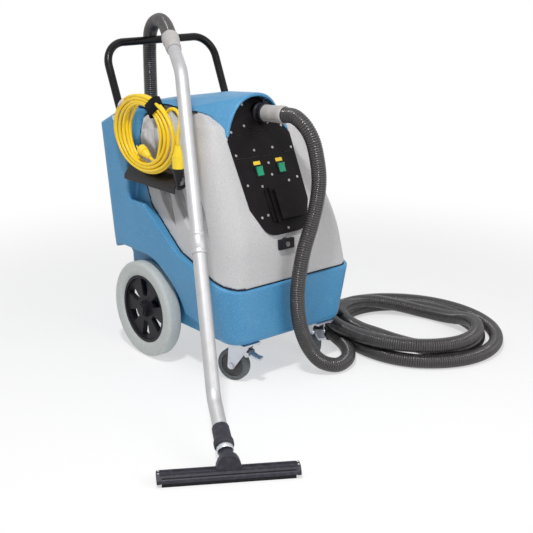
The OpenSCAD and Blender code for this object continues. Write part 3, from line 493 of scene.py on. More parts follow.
def mesh_object(name: str, points: np.ndarray, faces: Sequence[Sequence[int]]) -> bpy.types.Object:
    """Makes a smooth-shaded piece from points in the frame and faces."""
    mesh = bpy.data.meshes.new(name)
    mesh.from_pydata([tuple(p) for p in points], [], [tuple(f) for f in faces])
    mesh.polygons.foreach_set("use_smooth", [True] * len(mesh.polygons))
    mesh.update()
    return add_object(name, mesh)


def smooth_route(points: np.ndarray, step: float) -> np.ndarray:
    """Runs a centripetal curve through points and spaces it evenly.

    Args:
        points: The points that it passes through, in metres.
        step: The wanted spacing, in metres.

    Returns:
        The evenly spaced points.
    """
    ends = [2 * points[0] - points[1]], [2 * points[-1] - points[-2]]
    p = np.concatenate([ends[0], points, ends[1]])
    dense = []
    for i in range(1, len(p) - 2):
        knots = [0.0]
        for a, b in ((i - 1, i), (i, i + 1), (i + 1, i + 2)):
            knots.append(knots[-1] + math.sqrt(np.linalg.norm(p[b] - p[a])))
        k0, k1, k2, k3 = knots
        t = np.linspace(k1, k2, SPAN_SAMPLES, endpoint=False)[:, None]
        a1 = (k1 - t) / (k1 - k0) * p[i - 1] + (t - k0) / (k1 - k0) * p[i]
        a2 = (k2 - t) / (k2 - k1) * p[i] + (t - k1) / (k2 - k1) * p[i + 1]
        a3 = (k3 - t) / (k3 - k2) * p[i + 1] + (t - k2) / (k3 - k2) * p[i + 2]
        b1 = (k2 - t) / (k2 - k0) * a1 + (t - k0) / (k2 - k0) * a2
        b2 = (k3 - t) / (k3 - k1) * a2 + (t - k1) / (k3 - k1) * a3
        dense.append((k2 - t) / (k2 - k1) * b1 + (t - k1) / (k2 - k1) * b2)
    line = np.concatenate([*dense, [points[-1]]])
    run = np.concatenate([[0], np.cumsum(np.linalg.norm(np.diff(line, axis=0), axis=1))])
    count = max(2, round(run[-1] / step))
    even = np.linspace(0, run[-1], count + 1)
    return np.stack([np.interp(even, run, line[:, k]) for k in range(3)], axis=1)


def sweep(
    name: str, path: np.ndarray, radius: Union[float, np.ndarray], sides: int,
) -> bpy.types.Object:
    """Makes a closed tube round a path.

    Args:
        name: The piece's name.
        path: The centreline in the frame.
        radius: One radius, or one for each point.
        sides: Facets round the tube.

    Returns:
        The piece.
    """
    count = len(path)
    ahead = np.gradient(path, axis=0)
    ahead /= np.linalg.norm(ahead, axis=1)[:, None]
    seed = np.array([0, 0, 1.0]) if abs(ahead[0][2]) < 0.9 else np.array([0, 1.0, 0])
    side = np.empty_like(path)
    side[0] = np.cross(ahead[0], seed)
    side[0] /= np.linalg.norm(side[0])
    for i in range(1, count):
        moved = side[i - 1] - ahead[i] * (side[i - 1] @ ahead[i])
        side[i] = moved / np.linalg.norm(moved)
    up = np.cross(ahead, side)
    turn = np.arange(sides) * 2 * math.pi / sides
    size = np.broadcast_to(np.asarray(radius, float), (count,))[:, None, None]
    ring = side[:, None, :] * np.cos(turn)[None, :, None] + up[:, None, :] * np.sin(turn)[None, :, None]
    points = (path[:, None, :] + size * ring).reshape(-1, 3)
    index = np.arange(count * sides).reshape(count, sides)
    after = np.roll(index, -1, axis=1)
    walls = np.stack([index[:-1], after[:-1], after[1:], index[1:]], axis=-1).reshape(-1, 4)
    faces = [*walls.tolist(), index[0][::-1].tolist(), index[-1].tolist()]
    return mesh_object(name, points, faces)


def lathe(
    name: str, section: Sequence[Sequence[float]], place: Matrix, facets: int = 64, flutes: int = 0,
) -> bpy.types.Object:
    """Turns a section of (radius, height) points, in millimetres, about a frame's Z axis.

    Args:
        name: The piece's name.
        section: Radius and height of each ring, and how deep its flutes are where it has them; the
            outline closes on itself.
        place: The frame, whose origin and axes are in metres.
        facets: Facets round the axis.
        flutes: Flutes round the axis.

    Returns:
        The piece.
    """
    turn = np.arange(facets) * 2 * math.pi / facets
    rings = []
    for r, h, *deep in section:
        cut = deep[0] if deep else 0.0
        reach = [r - cut * (0.5 - 0.5 * math.cos(flutes * a)) for a in turn]
        rings.append([place @ Vector((out * MM * math.cos(a), out * MM * math.sin(a), h * MM))
                      for out, a in zip(reach, turn)])
    count = len(rings)
    index = np.arange(count * facets).reshape(count, facets)
    faces = []
    for i in range(count):
        low, high = index[i], index[(i + 1) % count]
        for k in range(facets):
            n = (k + 1) % facets
            faces.append((low[k], low[n], high[n], high[k]))
    return mesh_object(name, np.array([p for ring in rings for p in ring]), faces)


def prism(
    name: str, outline: Sequence[tuple[float, float]], place: Matrix, start: float, end: float, edge: float,
) -> bpy.types.Object:
    """Draws an outline out along a frame's X axis and breaks its edges.

    Args:
        name: The piece's name.
        outline: Its section on the frame's Y and Z, in millimetres.
        place: The frame, whose origin and axes are in metres.
        start: Where it starts along X, in millimetres.
        end: Where it ends.
        edge: The width of its broken edges, in millimetres.

    Returns:
        The piece.
    """
    count = len(outline)
    points = [place @ Vector((x * MM, u * MM, v * MM)) for x in (start, end) for u, v in outline]
    walls = [(i, (i + 1) % count, (i + 1) % count + count, i + count) for i in range(count)]
    piece = mesh_object(name, np.array(points), [*walls, range(count - 1, -1, -1), range(count, 2 * count)])
    round_edges(piece, edge)
    return piece


def round_edges(piece: bpy.types.Object, edge: float) -> None:
    """Breaks a piece's sharp edges to a width in millimetres."""
    bevel = piece.modifiers.new("edges", "BEVEL")
    bevel.width, bevel.segments, bevel.limit_method = edge * MM, 2, "ANGLE"
    bevel.angle_limit, bevel.harden_normals = math.radians(EDGE_ANGLE), True


def plain_normals(mesh: bpy.types.Mesh) -> None:
    """Drops the normals that a mesh was imported with."""
    custom = mesh.attributes.get("custom_normal")
    if custom is not None:
        mesh.attributes.remove(custom)


def ramp(value: Union[float, np.ndarray], start: Union[float, np.ndarray], width: float) -> np.ndarray:
    """Rises straight from zero at a start to one a width beyond it."""
    return np.clip((value - start) / width, 0, 1)


def reshape(piece: bpy.types.Object, datum: Datum, move: Callable[[np.ndarray], np.ndarray]) -> None:
    """Moves a piece's points by a rule that is given machine millimetres, and shifts in them."""
    flat = np.empty(len(piece.data.vertices) * 3)
    piece.data.vertices.foreach_get("co", flat)
    metres = flat.reshape(-1, 3)
    points = (metres - (datum.x, datum.y, 0.0)) / MM
    piece.data.vertices.foreach_set("co", (metres + move(points) * MM).ravel())
    piece.data.update()


def band(name: str, ring: np.ndarray, along: np.ndarray, width: float, thick: float) -> bpy.types.Object:
    """Makes a flat closed strap.

    Args:
        name: The piece's name.
        ring: Its outer line, in metres.
        along: The unit direction that its width runs in.
        width: Its width in millimetres.
        thick: Its thickness in millimetres, inwards.

    Returns:
        The piece.
    """
    centre, points, faces = ring.mean(axis=0), [], []
    for point in ring:
        outward = point - centre
        outward -= along * (outward @ along)
        outward /= np.linalg.norm(outward)
        for side, deep in ((-0.5, 0), (-0.5, 1), (0.5, 1), (0.5, 0)):
            points.append(point + (along * side * width - outward * deep * thick) * MM)
    for i in range(len(ring)):
        low, high = i * 4, (i + 1) % len(ring) * 4
        faces.extend((low + k, high + k, high + (k + 1) % 4, low + (k + 1) % 4) for k in range(4))
    return mesh_object(name, np.array(points), faces)


def settle(piece: bpy.types.Object) -> None:
    """Applies a piece's modifiers to its mesh."""
    graph = bpy.context.evaluated_depsgraph_get()
    made = bpy.data.meshes.new_from_object(piece.evaluated_get(graph))
    old, name = piece.data, piece.data.name
    piece.modifiers.clear()
    piece.data = made
    bpy.data.meshes.remove(old)
    made.name = name


def soften(name: str, node: str, voxel: float, passes: int) -> bpy.types.Object:
    """Copies a CAD solid and rounds its edges as a mould would.

    Args:
        name: The new piece's name.
        node: The CAD node that it stands for.
        voxel: The grid that it is rebuilt on, in millimetres.
        passes: How often it is smoothed.

    Returns:
        The rounded piece.
    """
    mesh = bpy.data.objects[node].data.copy()
    plain_normals(mesh)
    work = bmesh.new()
    work.from_mesh(mesh)
    bmesh.ops.remove_doubles(work, verts=work.verts, dist=WELD)
    work.to_mesh(mesh)
    work.free()
    piece = add_object(name, mesh)
    grid = piece.modifiers.new("grid", "REMESH")
    grid.mode, grid.voxel_size, grid.use_smooth_shade = "VOXEL", voxel * MM, True
    even = piece.modifiers.new("even", "SMOOTH")
    even.factor, even.iterations = 0.5, passes
    settle(piece)
    piece.data.materials.clear()
    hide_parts(node)
    return piece


def finish_piece(piece: bpy.types.Object, finish: Finishes, body: str) -> bpy.types.Object:
    """Gives a piece its finish and the body that it rides on."""
    piece.data.materials.clear()
    piece.data.materials.append(finish.value.material())
    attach(piece, body)
    LOG.info("%s rides on %s in %s", piece.name, body, finish.value.name)
    return piece


def dress(node: str, finish: Finishes, edge: float = 0.6) -> None:
    """Gives a CAD node its finish, and breaks its sharp edges.

    Args:
        node: The node's name.
        finish: Its finish.
        edge: The width of the broken edges in millimetres; zero leaves them sharp.
    """
    piece = bpy.data.objects[node]
    plain_normals(piece.data)
    piece.data.polygons.foreach_set("use_smooth", [True] * len(piece.data.polygons))
    weld = piece.modifiers.new("weld", "WELD")
    weld.merge_threshold = WELD
    if edge:
        round_edges(piece, edge)
    if not piece.material_slots:
        piece.data.materials.append(None)
    for slot in piece.material_slots:
        slot.material = finish.value.material()
    LOG.info("%s kept in %s", node, finish.value.name)


# ---------------------------------------------------------------- shared geometry


def rounded(corners: Sequence[Sequence[float]], bend: float, step: float = 4.0) -> np.ndarray:
    """Runs straight between corners and round them on one radius.

    Args:
        corners: The corner points in millimetres, ends included.
        bend: The centreline radius at each corner.
        step: Spacing of the points along the arcs and the straights.

    Returns:
        The points of the centreline, in millimetres.
    """
    p = [np.asarray(c, float) for c in corners]
    line = [p[0]]
    for before, here, after in zip(p, p[1:], p[2:]):
        back, ahead = before - here, after - here
        back, ahead = back / np.linalg.norm(back), ahead / np.linalg.norm(ahead)
        half = math.acos(float(np.clip(back @ ahead, -1, 1))) / 2
        cut = bend / math.tan(half)
        middle = back + ahead
        centre = here + middle / np.linalg.norm(middle) * bend / math.sin(half)
        first, last = here + back * cut - centre, here + ahead * cut - centre
        sweep_angle = math.pi - 2 * half
        count = max(3, round(bend * sweep_angle / step))
        for k in range(count + 1):
            t = k / count
            s = math.sin(sweep_angle)
            arc = first * math.sin((1 - t) * sweep_angle) / s + last * math.sin(t * sweep_angle) / s
            line.append(centre + arc)
    line.append(p[-1])
    filled = [line[0]]
    for a, b in zip(line, line[1:]):
        count = max(1, round(float(np.linalg.norm(b - a)) / step))
        filled.extend(a + (b - a) * (k + 1) / count for k in range(count))
    return np.array(filled)


def upright(origin: Vector, axis: Sequence[float]) -> Matrix:
    """Gives the frame at a point whose Z runs along an axis."""
    turn = Vector((0, 0, 1)).rotation_difference(Vector(axis).normalized())
    return Matrix.Translation(origin) @ turn.to_matrix().to_4x4()


@dataclass
class Assembly(ABC):
    """One sub-assembly of the machine, all of it riding on one body unless it says otherwise."""

    datum: Datum
    body: str = "machine"

    @abstractmethod
    def build(self) -> None:
        """Builds and dresses every piece."""

    def keep(self, finish: Finishes, *nodes: str, edge: float = 0.6) -> None:
        """Keeps CAD nodes whose shape is right, in one finish."""
        for node in nodes:
            dress(node, finish, edge)

    def add(self, piece: bpy.types.Object, finish: Finishes, *nodes: str) -> bpy.types.Object:
        """Finishes a new piece and lets it stand for CAD nodes."""
        if nodes:
            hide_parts(*nodes)
        return finish_piece(piece, finish, self.body)


# ---------------------------------------------------------------- vacuum hose


@dataclass
class VacuumHose(Assembly):
    """Ribbed hose from the panel to the wand, three turns of it strapped on the floor."""

    diameter: float = 45.0
    rib: float = 6.8
    groove: float = 2.2
    rib_profile: tuple[float, ...] = (0.0, 0.04, 0.15, 0.6, 1.0, 0.6, 0.15, 0.04)
    sides: int = 20
    straight: tuple[float, float] = (108.0, 138.0)
    coil_at: tuple[float, float] = (516.0, -415.0)
    half_axes: tuple[float, float] = (265.0, 300.0)
    wand_end: Triple = (-114.0, 22.0, 976.0)
    wand_way: Triple = (0.4446, 0.845, 0.2974)
    first_angle: float = 148.6
    strap_at: Triple = (308.0, -288.0, 0.0)
    strap_turn: float = 62.0
    drop: tuple[Triple, ...] = (
        (29, -392, 774), (33, -424, 753), (44, -442, 717), (56, -450, 660), (64, -451, 600),
        (58, -451, 540), (37, -451, 470), (10, -451, 400), (-8, -451, 325), (-14, -451, 250),
        (-3, -453, 170), (28, -459, 92), (66, -474, 42), (112, -492, 24), (166, -480, 23),
        (214, -440, 23), (248, -388, 24), (270, -330, 25), (288, -277, 26),
    )
    rise: tuple[Triple, ...] = (
        (300, -256, 70), (327, -207, 70), (352, -150, 66), (372, -88, 48), (383, -20, 28),
        (368, 70, 23), (312, 160, 23), (238, 240, 23), (160, 300, 26), (92, 326, 60), (48, 330, 130),
        (22, 322, 220), (8, 312, 320), (0, 304, 430), (-3, 299, 540), (-4, 296, 650), (-5, 294, 760),
        (-6, 293, 860), (-8, 289, 920), (-11, 278, 967), (-18, 250, 995), (-30, 206, 1010),
        (-48, 160, 1013), (-68, 112, 1005), (-90, 67, 991),
    )
    spread: tuple[tuple[float, float], ...] = (
        (0, 0.98), (60, 1.0), (290, 1.0), (330, 0.9), (360, 0.815), (400, 0.8), (680, 0.8), (720, 0.807),
        (740, 0.79), (760, 0.76), (780, 0.72), (800, 0.68), (820, 0.65), (840, 0.635), (870, 0.635),
        (890, 0.655), (910, 0.7), (930, 0.77), (950, 0.85), (970, 0.92), (995, 0.965), (1020, 0.98),
        (1080, 0.98),
    )
    lift: tuple[tuple[float, float], ...] = (
        (0, 25), (60, 22.5), (300, 22.5), (360, 25), (420, 22.5), (600, 22.5), (625, 32), (650, 56),
        (675, 68), (720, 70), (745, 67), (770, 61), (790, 53), (810, 40), (830, 29), (845, 24), (865, 24),
        (885, 36), (905, 56), (925, 68), (940, 70), (1080, 70),
    )

    def turns(self) -> list[Triple]:
        """Gives the centreline of the turns on the floor."""
        points = []
        for angle in range(15, 1075, 15):
            out = float(np.interp(angle, *zip(*self.spread)))
            theta = math.radians(self.first_angle - angle)
            x = self.coil_at[0] + out * self.half_axes[0] * math.cos(theta)
            y = self.coil_at[1] + out * self.half_axes[1] * math.sin(theta)
            points.append((x, y, float(np.interp(angle, *zip(*self.lift)))))
        return points

    def route(self) -> np.ndarray:
        """Gives the whole centreline, with the points of a profile to each rib, in metres."""
        start, way = np.array(INLET_AT), np.array(INLET_WAY)
        end, out = np.array(self.wand_end), np.array(self.wand_way)
        points = [*(start + run * way for run in self.straight), *self.drop, *self.turns(), *self.rise,
                  end + 2 * out, end - 24 * out]
        return smooth_route(self.datum.all(points), self.rib * MM / len(self.rib_profile))

    def build(self) -> None:
        """Sweeps the ribs along the route and lays the strap round the turns."""
        path = self.route()
        to_a_rib = len(self.rib_profile)
        dip = np.array(self.rib_profile)[np.arange(len(path)) % to_a_rib] * self.groove
        tube = sweep("vacuum_hose", path, (self.diameter / 2 - dip) * MM, self.sides)
        # How high each point stands on its rib; the hose finish paints shade into the grooves from it.
        height = tube.data.attributes.new("rib", "FLOAT", "POINT")
        height.data.foreach_set("value", np.repeat(1 - dip / self.groove, self.sides))
        hose = self.add(tube, Finishes.HOSE, "hose_drop", "hose_coil", "hose_rise")
        strap = self.strap()

    def strap(self) -> bpy.types.Object:
        """Wraps webbing round the turns."""
        centre, wide, high = np.array(self.strap_at), 51.0, 91.0
        turn = math.radians(self.strap_turn)
        along = np.array((math.cos(turn), math.sin(turn), 0))
        across = np.array((-along[1], along[0], 0))
        outline = [(-wide, 24), (-wide, 62), (-wide + 12, 84), (-wide + 32, high), (wide - 34, high),
                   (wide - 12, 85), (wide, 62), (wide, 24), (wide - 14, 4), (wide - 34, 1.6),
                   (-wide + 34, 1.6), (-wide + 14, 4)]
        ring = smooth_route(self.datum.all([centre + across * u + (0, 0, v) for u, v in
                                            [*outline, outline[0]]]), 0.004)[:-1]
        return self.add(band("hose_strap_band", ring, along, 38.0, 2.4), Finishes.STRAP, "hose_strap")


# ---------------------------------------------------------------- power cord


@dataclass
class PowerCord(Assembly):
    """Yellow cord hung in turns on the left bracket, with its connector, plug, strap and tag."""

    diameter: float = 10.0
    middle: tuple[float, float] = (-43.0, 713.0)
    layers: Triple = (-249.0, -258.0, -267.0)
    spacing: float = 3.0
    strap_at: Triple = (-258.0, -98.0, 797.0)
    tag_at: Triple = (-267.0, 70.0, 792.0)
    tag_radius: float = 7.4
    tag_reach: int = 6
    lead: tuple[Triple, ...] = (
        (-264, -217, 706), (-264, -217, 718), (-262, -217, 735), (-257, -217, 757), (-251, -212, 782),
        (-249, -198, 796.6), (-249, -178, 802), (-249, -158, 796.6), (-249, -143.4, 782),
        (-249, -138, 762), (-249, -138, 738),
    )
    turns: tuple[tuple[float, float, float, float], ...] = (
        (180, 95, 96, 0), (270, 102, 99, 0), (360, 110, 99, 0), (540, 106, 95, 0), (720, 92, 90, 0),
        (760, 88, 90, 0),
        (820, 86, 92, 1), (900, 84, 94, 1), (1080, 95, 97, 1), (1260, 118, 104, 1), (1440, 125, 109, 1),
        (1620, 150, 114, 1), (1800, 160, 113, 1), (1830, 160, 112, 1), (1890, 159, 111, 2),
        (1980, 158, 109, 2), (2160, 140, 106, 2), (2340, 135, 99, 2), (2520, 120, 97, 2),
        (2700, 115, 90, 2), (2880, 100, 89, 2), (3060, 95, 89, 2),
    )
    tail: tuple[Triple, ...] = (
        (-266, -121, 659), (-264, -112.4, 648.7), (-262, -100.4, 641.7), (-259.5, -86.7, 639.3),
        (-257, -73, 641.7), (-257, -64, 645.5),
    )

    def route(self) -> np.ndarray:
        """Gives the whole centreline in metres."""
        points = list(self.lead)
        angles, wide, high, layer = zip(*self.turns)
        for angle in range(180, 3061, 20):
            t = math.radians(angle)
            a, b = np.interp(angle, angles, wide), np.interp(angle, angles, high)
            x = np.interp(np.interp(angle, angles, layer), (0, 1, 2), self.layers)
            points.append((x, self.middle[0] + a * math.cos(t), self.middle[1] + b * math.sin(t)))
        points.extend(self.tail)
        return smooth_route(self.datum.all(points), self.spacing * MM)

    def build(self) -> None:
        """Sweeps the cord and gives it its fittings."""
        path = self.route()
        cord = self.add(sweep("power_cord", path, self.diameter / 2 * MM, 14), Finishes.CORD, "cord_coil")
        self.keep(Finishes.PLUG, "cord_connector", "cord_plug", edge=1.2)
        tag, strap = self.tag(path), self.strap()

    def strap(self) -> bpy.types.Object:
        """Wraps a band round the strands where the turns come over the top."""
        centre, out, along = np.array(self.strap_at), np.array((0, -0.8, 0.6)), np.array((0, -0.6, -0.8))
        corners = ((-16, -20), (-16, 20), (-10, 29), (8, 29), (15, 22), (15, -20), (8, -27), (-10, -27))
        outline = [centre + np.array((x, 0, 0)) + out * r for x, r in (*corners, corners[0])]
        ring = smooth_route(self.datum.all(outline), self.spacing * MM)[:-1]
        return self.add(band("cord_strap_band", ring, along, 40.0, 2.2), Finishes.STRAP, "cord_strap")

    def tag(self, path: np.ndarray) -> bpy.types.Object:
        """Slips a bare tag sleeve over the outer turn at its rear."""
        target = np.array(self.datum.at(self.tag_at))
        nearest = int(np.argmin(np.linalg.norm(path - target, axis=1)))
        run = path[nearest - self.tag_reach:nearest + self.tag_reach + 1]
        return self.add(sweep("cord_tag", run, self.tag_radius * MM, 20), Finishes.TAG)


@dataclass
class Pigtail(Assembly):
    """Short lead from the machine, with its plug up in the cord's connector."""

    diameter: float = 11.0
    plug_at: Triple = (-264.0, -217.0, 602.0)
    gland_at: Triple = (-201.8, -190.0, 578.0)
    points: tuple[Triple, ...] = (
        (-264, -217, 602), (-264, -215, 590), (-260, -209, 580), (-250, -201, 576), (-221.8, -190, 578),
    )

    def build(self) -> None:
        """Sweeps the lead between its plug and its gland."""
        path = smooth_route(self.datum.all(self.points), 0.0015)
        tube = sweep("machine_lead", path, self.diameter / 2 * MM, 20)
        lead = self.add(tube, Finishes.LEAD, "pigtail")
        plug = self.plug()
        self.nut()

    def plug(self) -> bpy.types.Object:
        """Turns the black plug, held up in the yellow connector."""
        section = [(5.5, 0), (8.5, 0), (10, 2), (11, 10), (13, 13), (14.5, 24), (16.5, 28), (17, 30), (17, 36),
                   (16, 38), (5.5, 38)]
        place = upright(self.datum.at(self.plug_at), (0, 0, 1))
        return self.add(lathe("lead_plug", section, place, 40), Finishes.LEAD, "cord_gland")

    def nut(self) -> None:
        """Turns the plated gland and its six-sided nut on the tank's side."""
        place = upright(self.datum.at(self.gland_at), (-1, 0, 0))
        flange = [(5.6, 0), (13.4, 0), (13.4, 5), (12.4, 6), (10.4, 6.4), (10.4, 11), (5.6, 11)]
        self.add(lathe("gland_flange", flange, place, 48), Finishes.ZINC)
        nut = [(5.6, 7), (11, 7), (12.2, 8), (12.2, 17), (11, 18), (8.4, 18.4), (7.4, 24), (5.6, 24.4)]
        self.add(lathe("gland_nut", nut, place, 6), Finishes.ZINC)


# ---------------------------------------------------------------- tanks


@dataclass
class TankBody(Assembly):
    """Two rotomoulded tanks with their foam seals, and the hood over the upper one."""

    voxel: float = 3.0
    passes: int = 8
    brow: float = 441.0
    brow_reach: float = 52.0
    brow_fall: float = 0.185
    brow_front: tuple[float, float] = (300.0, 60.0)
    tip_top: float = 778.0
    tip_height: float = 46.0
    tip_front: tuple[float, float] = (165.0, 60.0)
    tip_side: tuple[float, float] = (70.0, 40.0)
    tip_shift: Triple = (4.0, -12.0, -24.0)
    flute_side: tuple[float, float] = (130.0, 10.0)
    flute_wall: float = 3.0
    flute_run: float = 60.0
    flute_feet: tuple[tuple[float, float], ...] = ((-146, 428), (-218, 433), (-314, 413))
    flute_lean: float = 36.5
    flute_half: float = 21.0
    flute_taper: float = 110.0
    flute_cut: float = 16.0
    button_well: tuple[float, float] = (16.0, 12.0)
    well_wall: float = 4.0
    well_reach: float = 60.0

    def build(self) -> None:
        """Rounds the mouldings and dresses the seals."""
        base = soften("base_moulding", "base_tank", self.voxel, self.passes)
        tank = soften("tank_moulding", "recovery_tank", self.voxel, self.passes)
        hood = soften("hood_moulding", "hood", self.voxel, self.passes)
        for rule in (self.ease_brow, self.deepen_flutes, self.clear_button):
            reshape(tank, self.datum, rule)
        reshape(hood, self.datum, self.draw_tips)
        for piece, finish in ((base, Finishes.BLUE), (tank, Finishes.GREY), (hood, Finishes.BLUE)):
            finish_piece(piece, finish, self.body)
        self.keep(Finishes.SEAL, "tank_seal", "hood_seal", edge=0)

    def ease_brow(self, points: np.ndarray) -> np.ndarray:
        """Rounds the crease where the tank's front starts to lean back."""
        near = np.clip(self.brow_reach - np.abs(points[:, 2] - self.brow), 0, None)
        front = ramp(-points[:, 1], *self.brow_front)
        shift = np.zeros_like(points)
        shift[:, 1] = self.brow_fall / (2 * self.brow_reach) * near ** 2 * front
        return shift

    def deepen_flutes(self, points: np.ndarray) -> np.ndarray:
        """Sinks the floors of the flutes in the tank's sides and sharpens their walls."""
        lean = math.radians(self.flute_lean)
        shift = np.zeros_like(points)
        side = ramp(np.abs(points[:, 0]), *self.flute_side)
        for foot_y, foot_z in self.flute_feet:
            back, up = points[:, 1] - foot_y, points[:, 2] - foot_z
            run = back * math.sin(lean) + up * math.cos(lean)
            off = np.abs(up * math.sin(lean) - back * math.cos(lean))
            half = self.flute_half * ramp(run, 0, self.flute_taper)
            inside = ramp(half, off, self.flute_wall) * ramp(run, 0, self.flute_run)
            shift[:, 0] -= np.sign(points[:, 0]) * self.flute_cut * inside * side
        return shift

    def clear_button(self, points: np.ndarray) -> np.ndarray:
        """Sinks the well that the reset button travels in, behind the breaker's case."""
        low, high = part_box("breaker_button")
        middle = (np.array((low + high) / 2) - (self.datum.x, self.datum.y, 0.0)) / MM
        radius, depth = self.button_well
        off = np.hypot(points[:, 0] - middle[0], points[:, 2] - middle[2])
        shift = np.zeros_like(points)
        near = points[:, 1] < middle[1] + self.well_reach
        shift[:, 1] = depth * ramp(radius, off, self.well_wall) * near
        return shift

    def draw_tips(self, points: np.ndarray) -> np.ndarray:
        """Draws the hood's two front tips down over the tank's shoulders."""
        low = ramp(self.tip_top, points[:, 2], self.tip_height) ** 2
        share = low * ramp(-points[:, 1], *self.tip_front) * ramp(np.abs(points[:, 0]), *self.tip_side)
        out, back, down = self.tip_shift
        return np.stack([np.sign(points[:, 0]) * out * share, back * share, down * share], axis=1)


# ---------------------------------------------------------------- control panel


@dataclass
class ControlPanel(Assembly):
    """Black plates with the hose cuff, the two rockers, the breaker and their screws."""

    def build(self) -> None:
        """Dresses the plates and turns the cuff."""
        self.keep(Finishes.PANEL, "inlet_plate", "middle_plate", "switch_plate", "cover_box")
        self.keep(Finishes.MOULDED, "switch_bezels", "breaker_case", edge=0.8)
        self.keep(Finishes.SCREW, "panel_screws", "breaker_button", edge=0.4)
        self.keep(Finishes.ROCKER, "left_rocker", "right_rocker", edge=0.8)
        self.keep(Finishes.PLATE, "label_plates", edge=0.2)
        self.cuff()

    def cuff(self) -> None:
        """Turns the soft cuff that the hose is held in."""
        place = upright(self.datum.at(INLET_AT), INLET_WAY)
        section = [(23, 14), (24.2, 14), (24.8, 16), (25, 30), (24.6, 56), (25, 58), (25, 61), (24.7, 63),
                   (25.2, 84), (26, 90), (26.6, 95), (26.8, 104), (26, 109), (24.4, 111), (22.6, 111),
                   (22.4, 100)]
        self.add(lathe("hose_inlet_cuff", section, place), Finishes.CUFF, "inlet_cuff")
        socket = [(24.6, -6), (29, -6), (29, 5), (31, 6), (31, 9), (28.6, 10), (28, 22), (29.4, 24), (29.4, 29),
                  (28.4, 31), (25.4, 31)]
        self.add(lathe("hose_inlet_socket", socket, place), Finishes.MOULDED)


# ---------------------------------------------------------------- handle


@dataclass
class PushHandle(Assembly):
    """Bent tube handle, bolted into the tower."""

    across: float = 208.0
    bar_at: tuple[float, float] = (247.5, 946.0)
    lean: float = 23.2
    leg: float = 286.8
    bend: float = 72.0
    diameter: float = 25.0

    def build(self) -> None:
        """Sweeps the tube and dresses its bolts."""
        y, z = self.bar_at
        down = (-math.sin(math.radians(self.lean)), -math.cos(math.radians(self.lean)))
        foot = (y + down[0] * self.leg, z + down[1] * self.leg)
        corners = [(-self.across, *foot), (-self.across, y, z), (self.across, y, z), (self.across, *foot)]
        path = self.datum.all(rounded(corners, self.bend))
        self.add(sweep("push_handle", path, self.diameter / 2 * MM, 40), Finishes.PAINT, "handle")
        self.keep(Finishes.ZINC, "handle_bolts", edge=0.5)


# ---------------------------------------------------------------- wheels and casters


class Side(Enum):
    """The two sides of the machine."""

    LEFT = "left"
    RIGHT = "right"


@dataclass
class RearWheels(Assembly):
    """Two large wheels on a through axle."""

    def build(self) -> None:
        """Dresses each wheel's tyre, hub and cap."""
        self.keep(Finishes.ZINC, "axle", edge=0.4)
        for side in Side:
            self.keep(Finishes.TYRE, f"{side.value}_tyre", edge=0.8)
            self.keep(Finishes.MOULDED, f"{side.value}_hub", f"{side.value}_hub_cap", edge=0.8)


@dataclass
class Casters(Assembly):
    """Swivel casters with brake pedals under the front."""

    def build(self) -> None:
        """Dresses the plates, the forks, the wheels and the pedals."""
        self.keep(Finishes.ZINC, "caster_plates", edge=0.5)
        for side in Side:
            self.keep(Finishes.ZINC, *(f"{side.value}_{n}" for n in ("caster_fork", "caster_axle", "brake_pedal")),
                      edge=0.4)
            self.keep(Finishes.CASTER_HUB, f"{side.value}_caster_hub", edge=0.6)
            self.keep(Finishes.CASTER_TYRE, f"{side.value}_caster_tyre", edge=0.8)


# ---------------------------------------------------------------- wand and squeegee


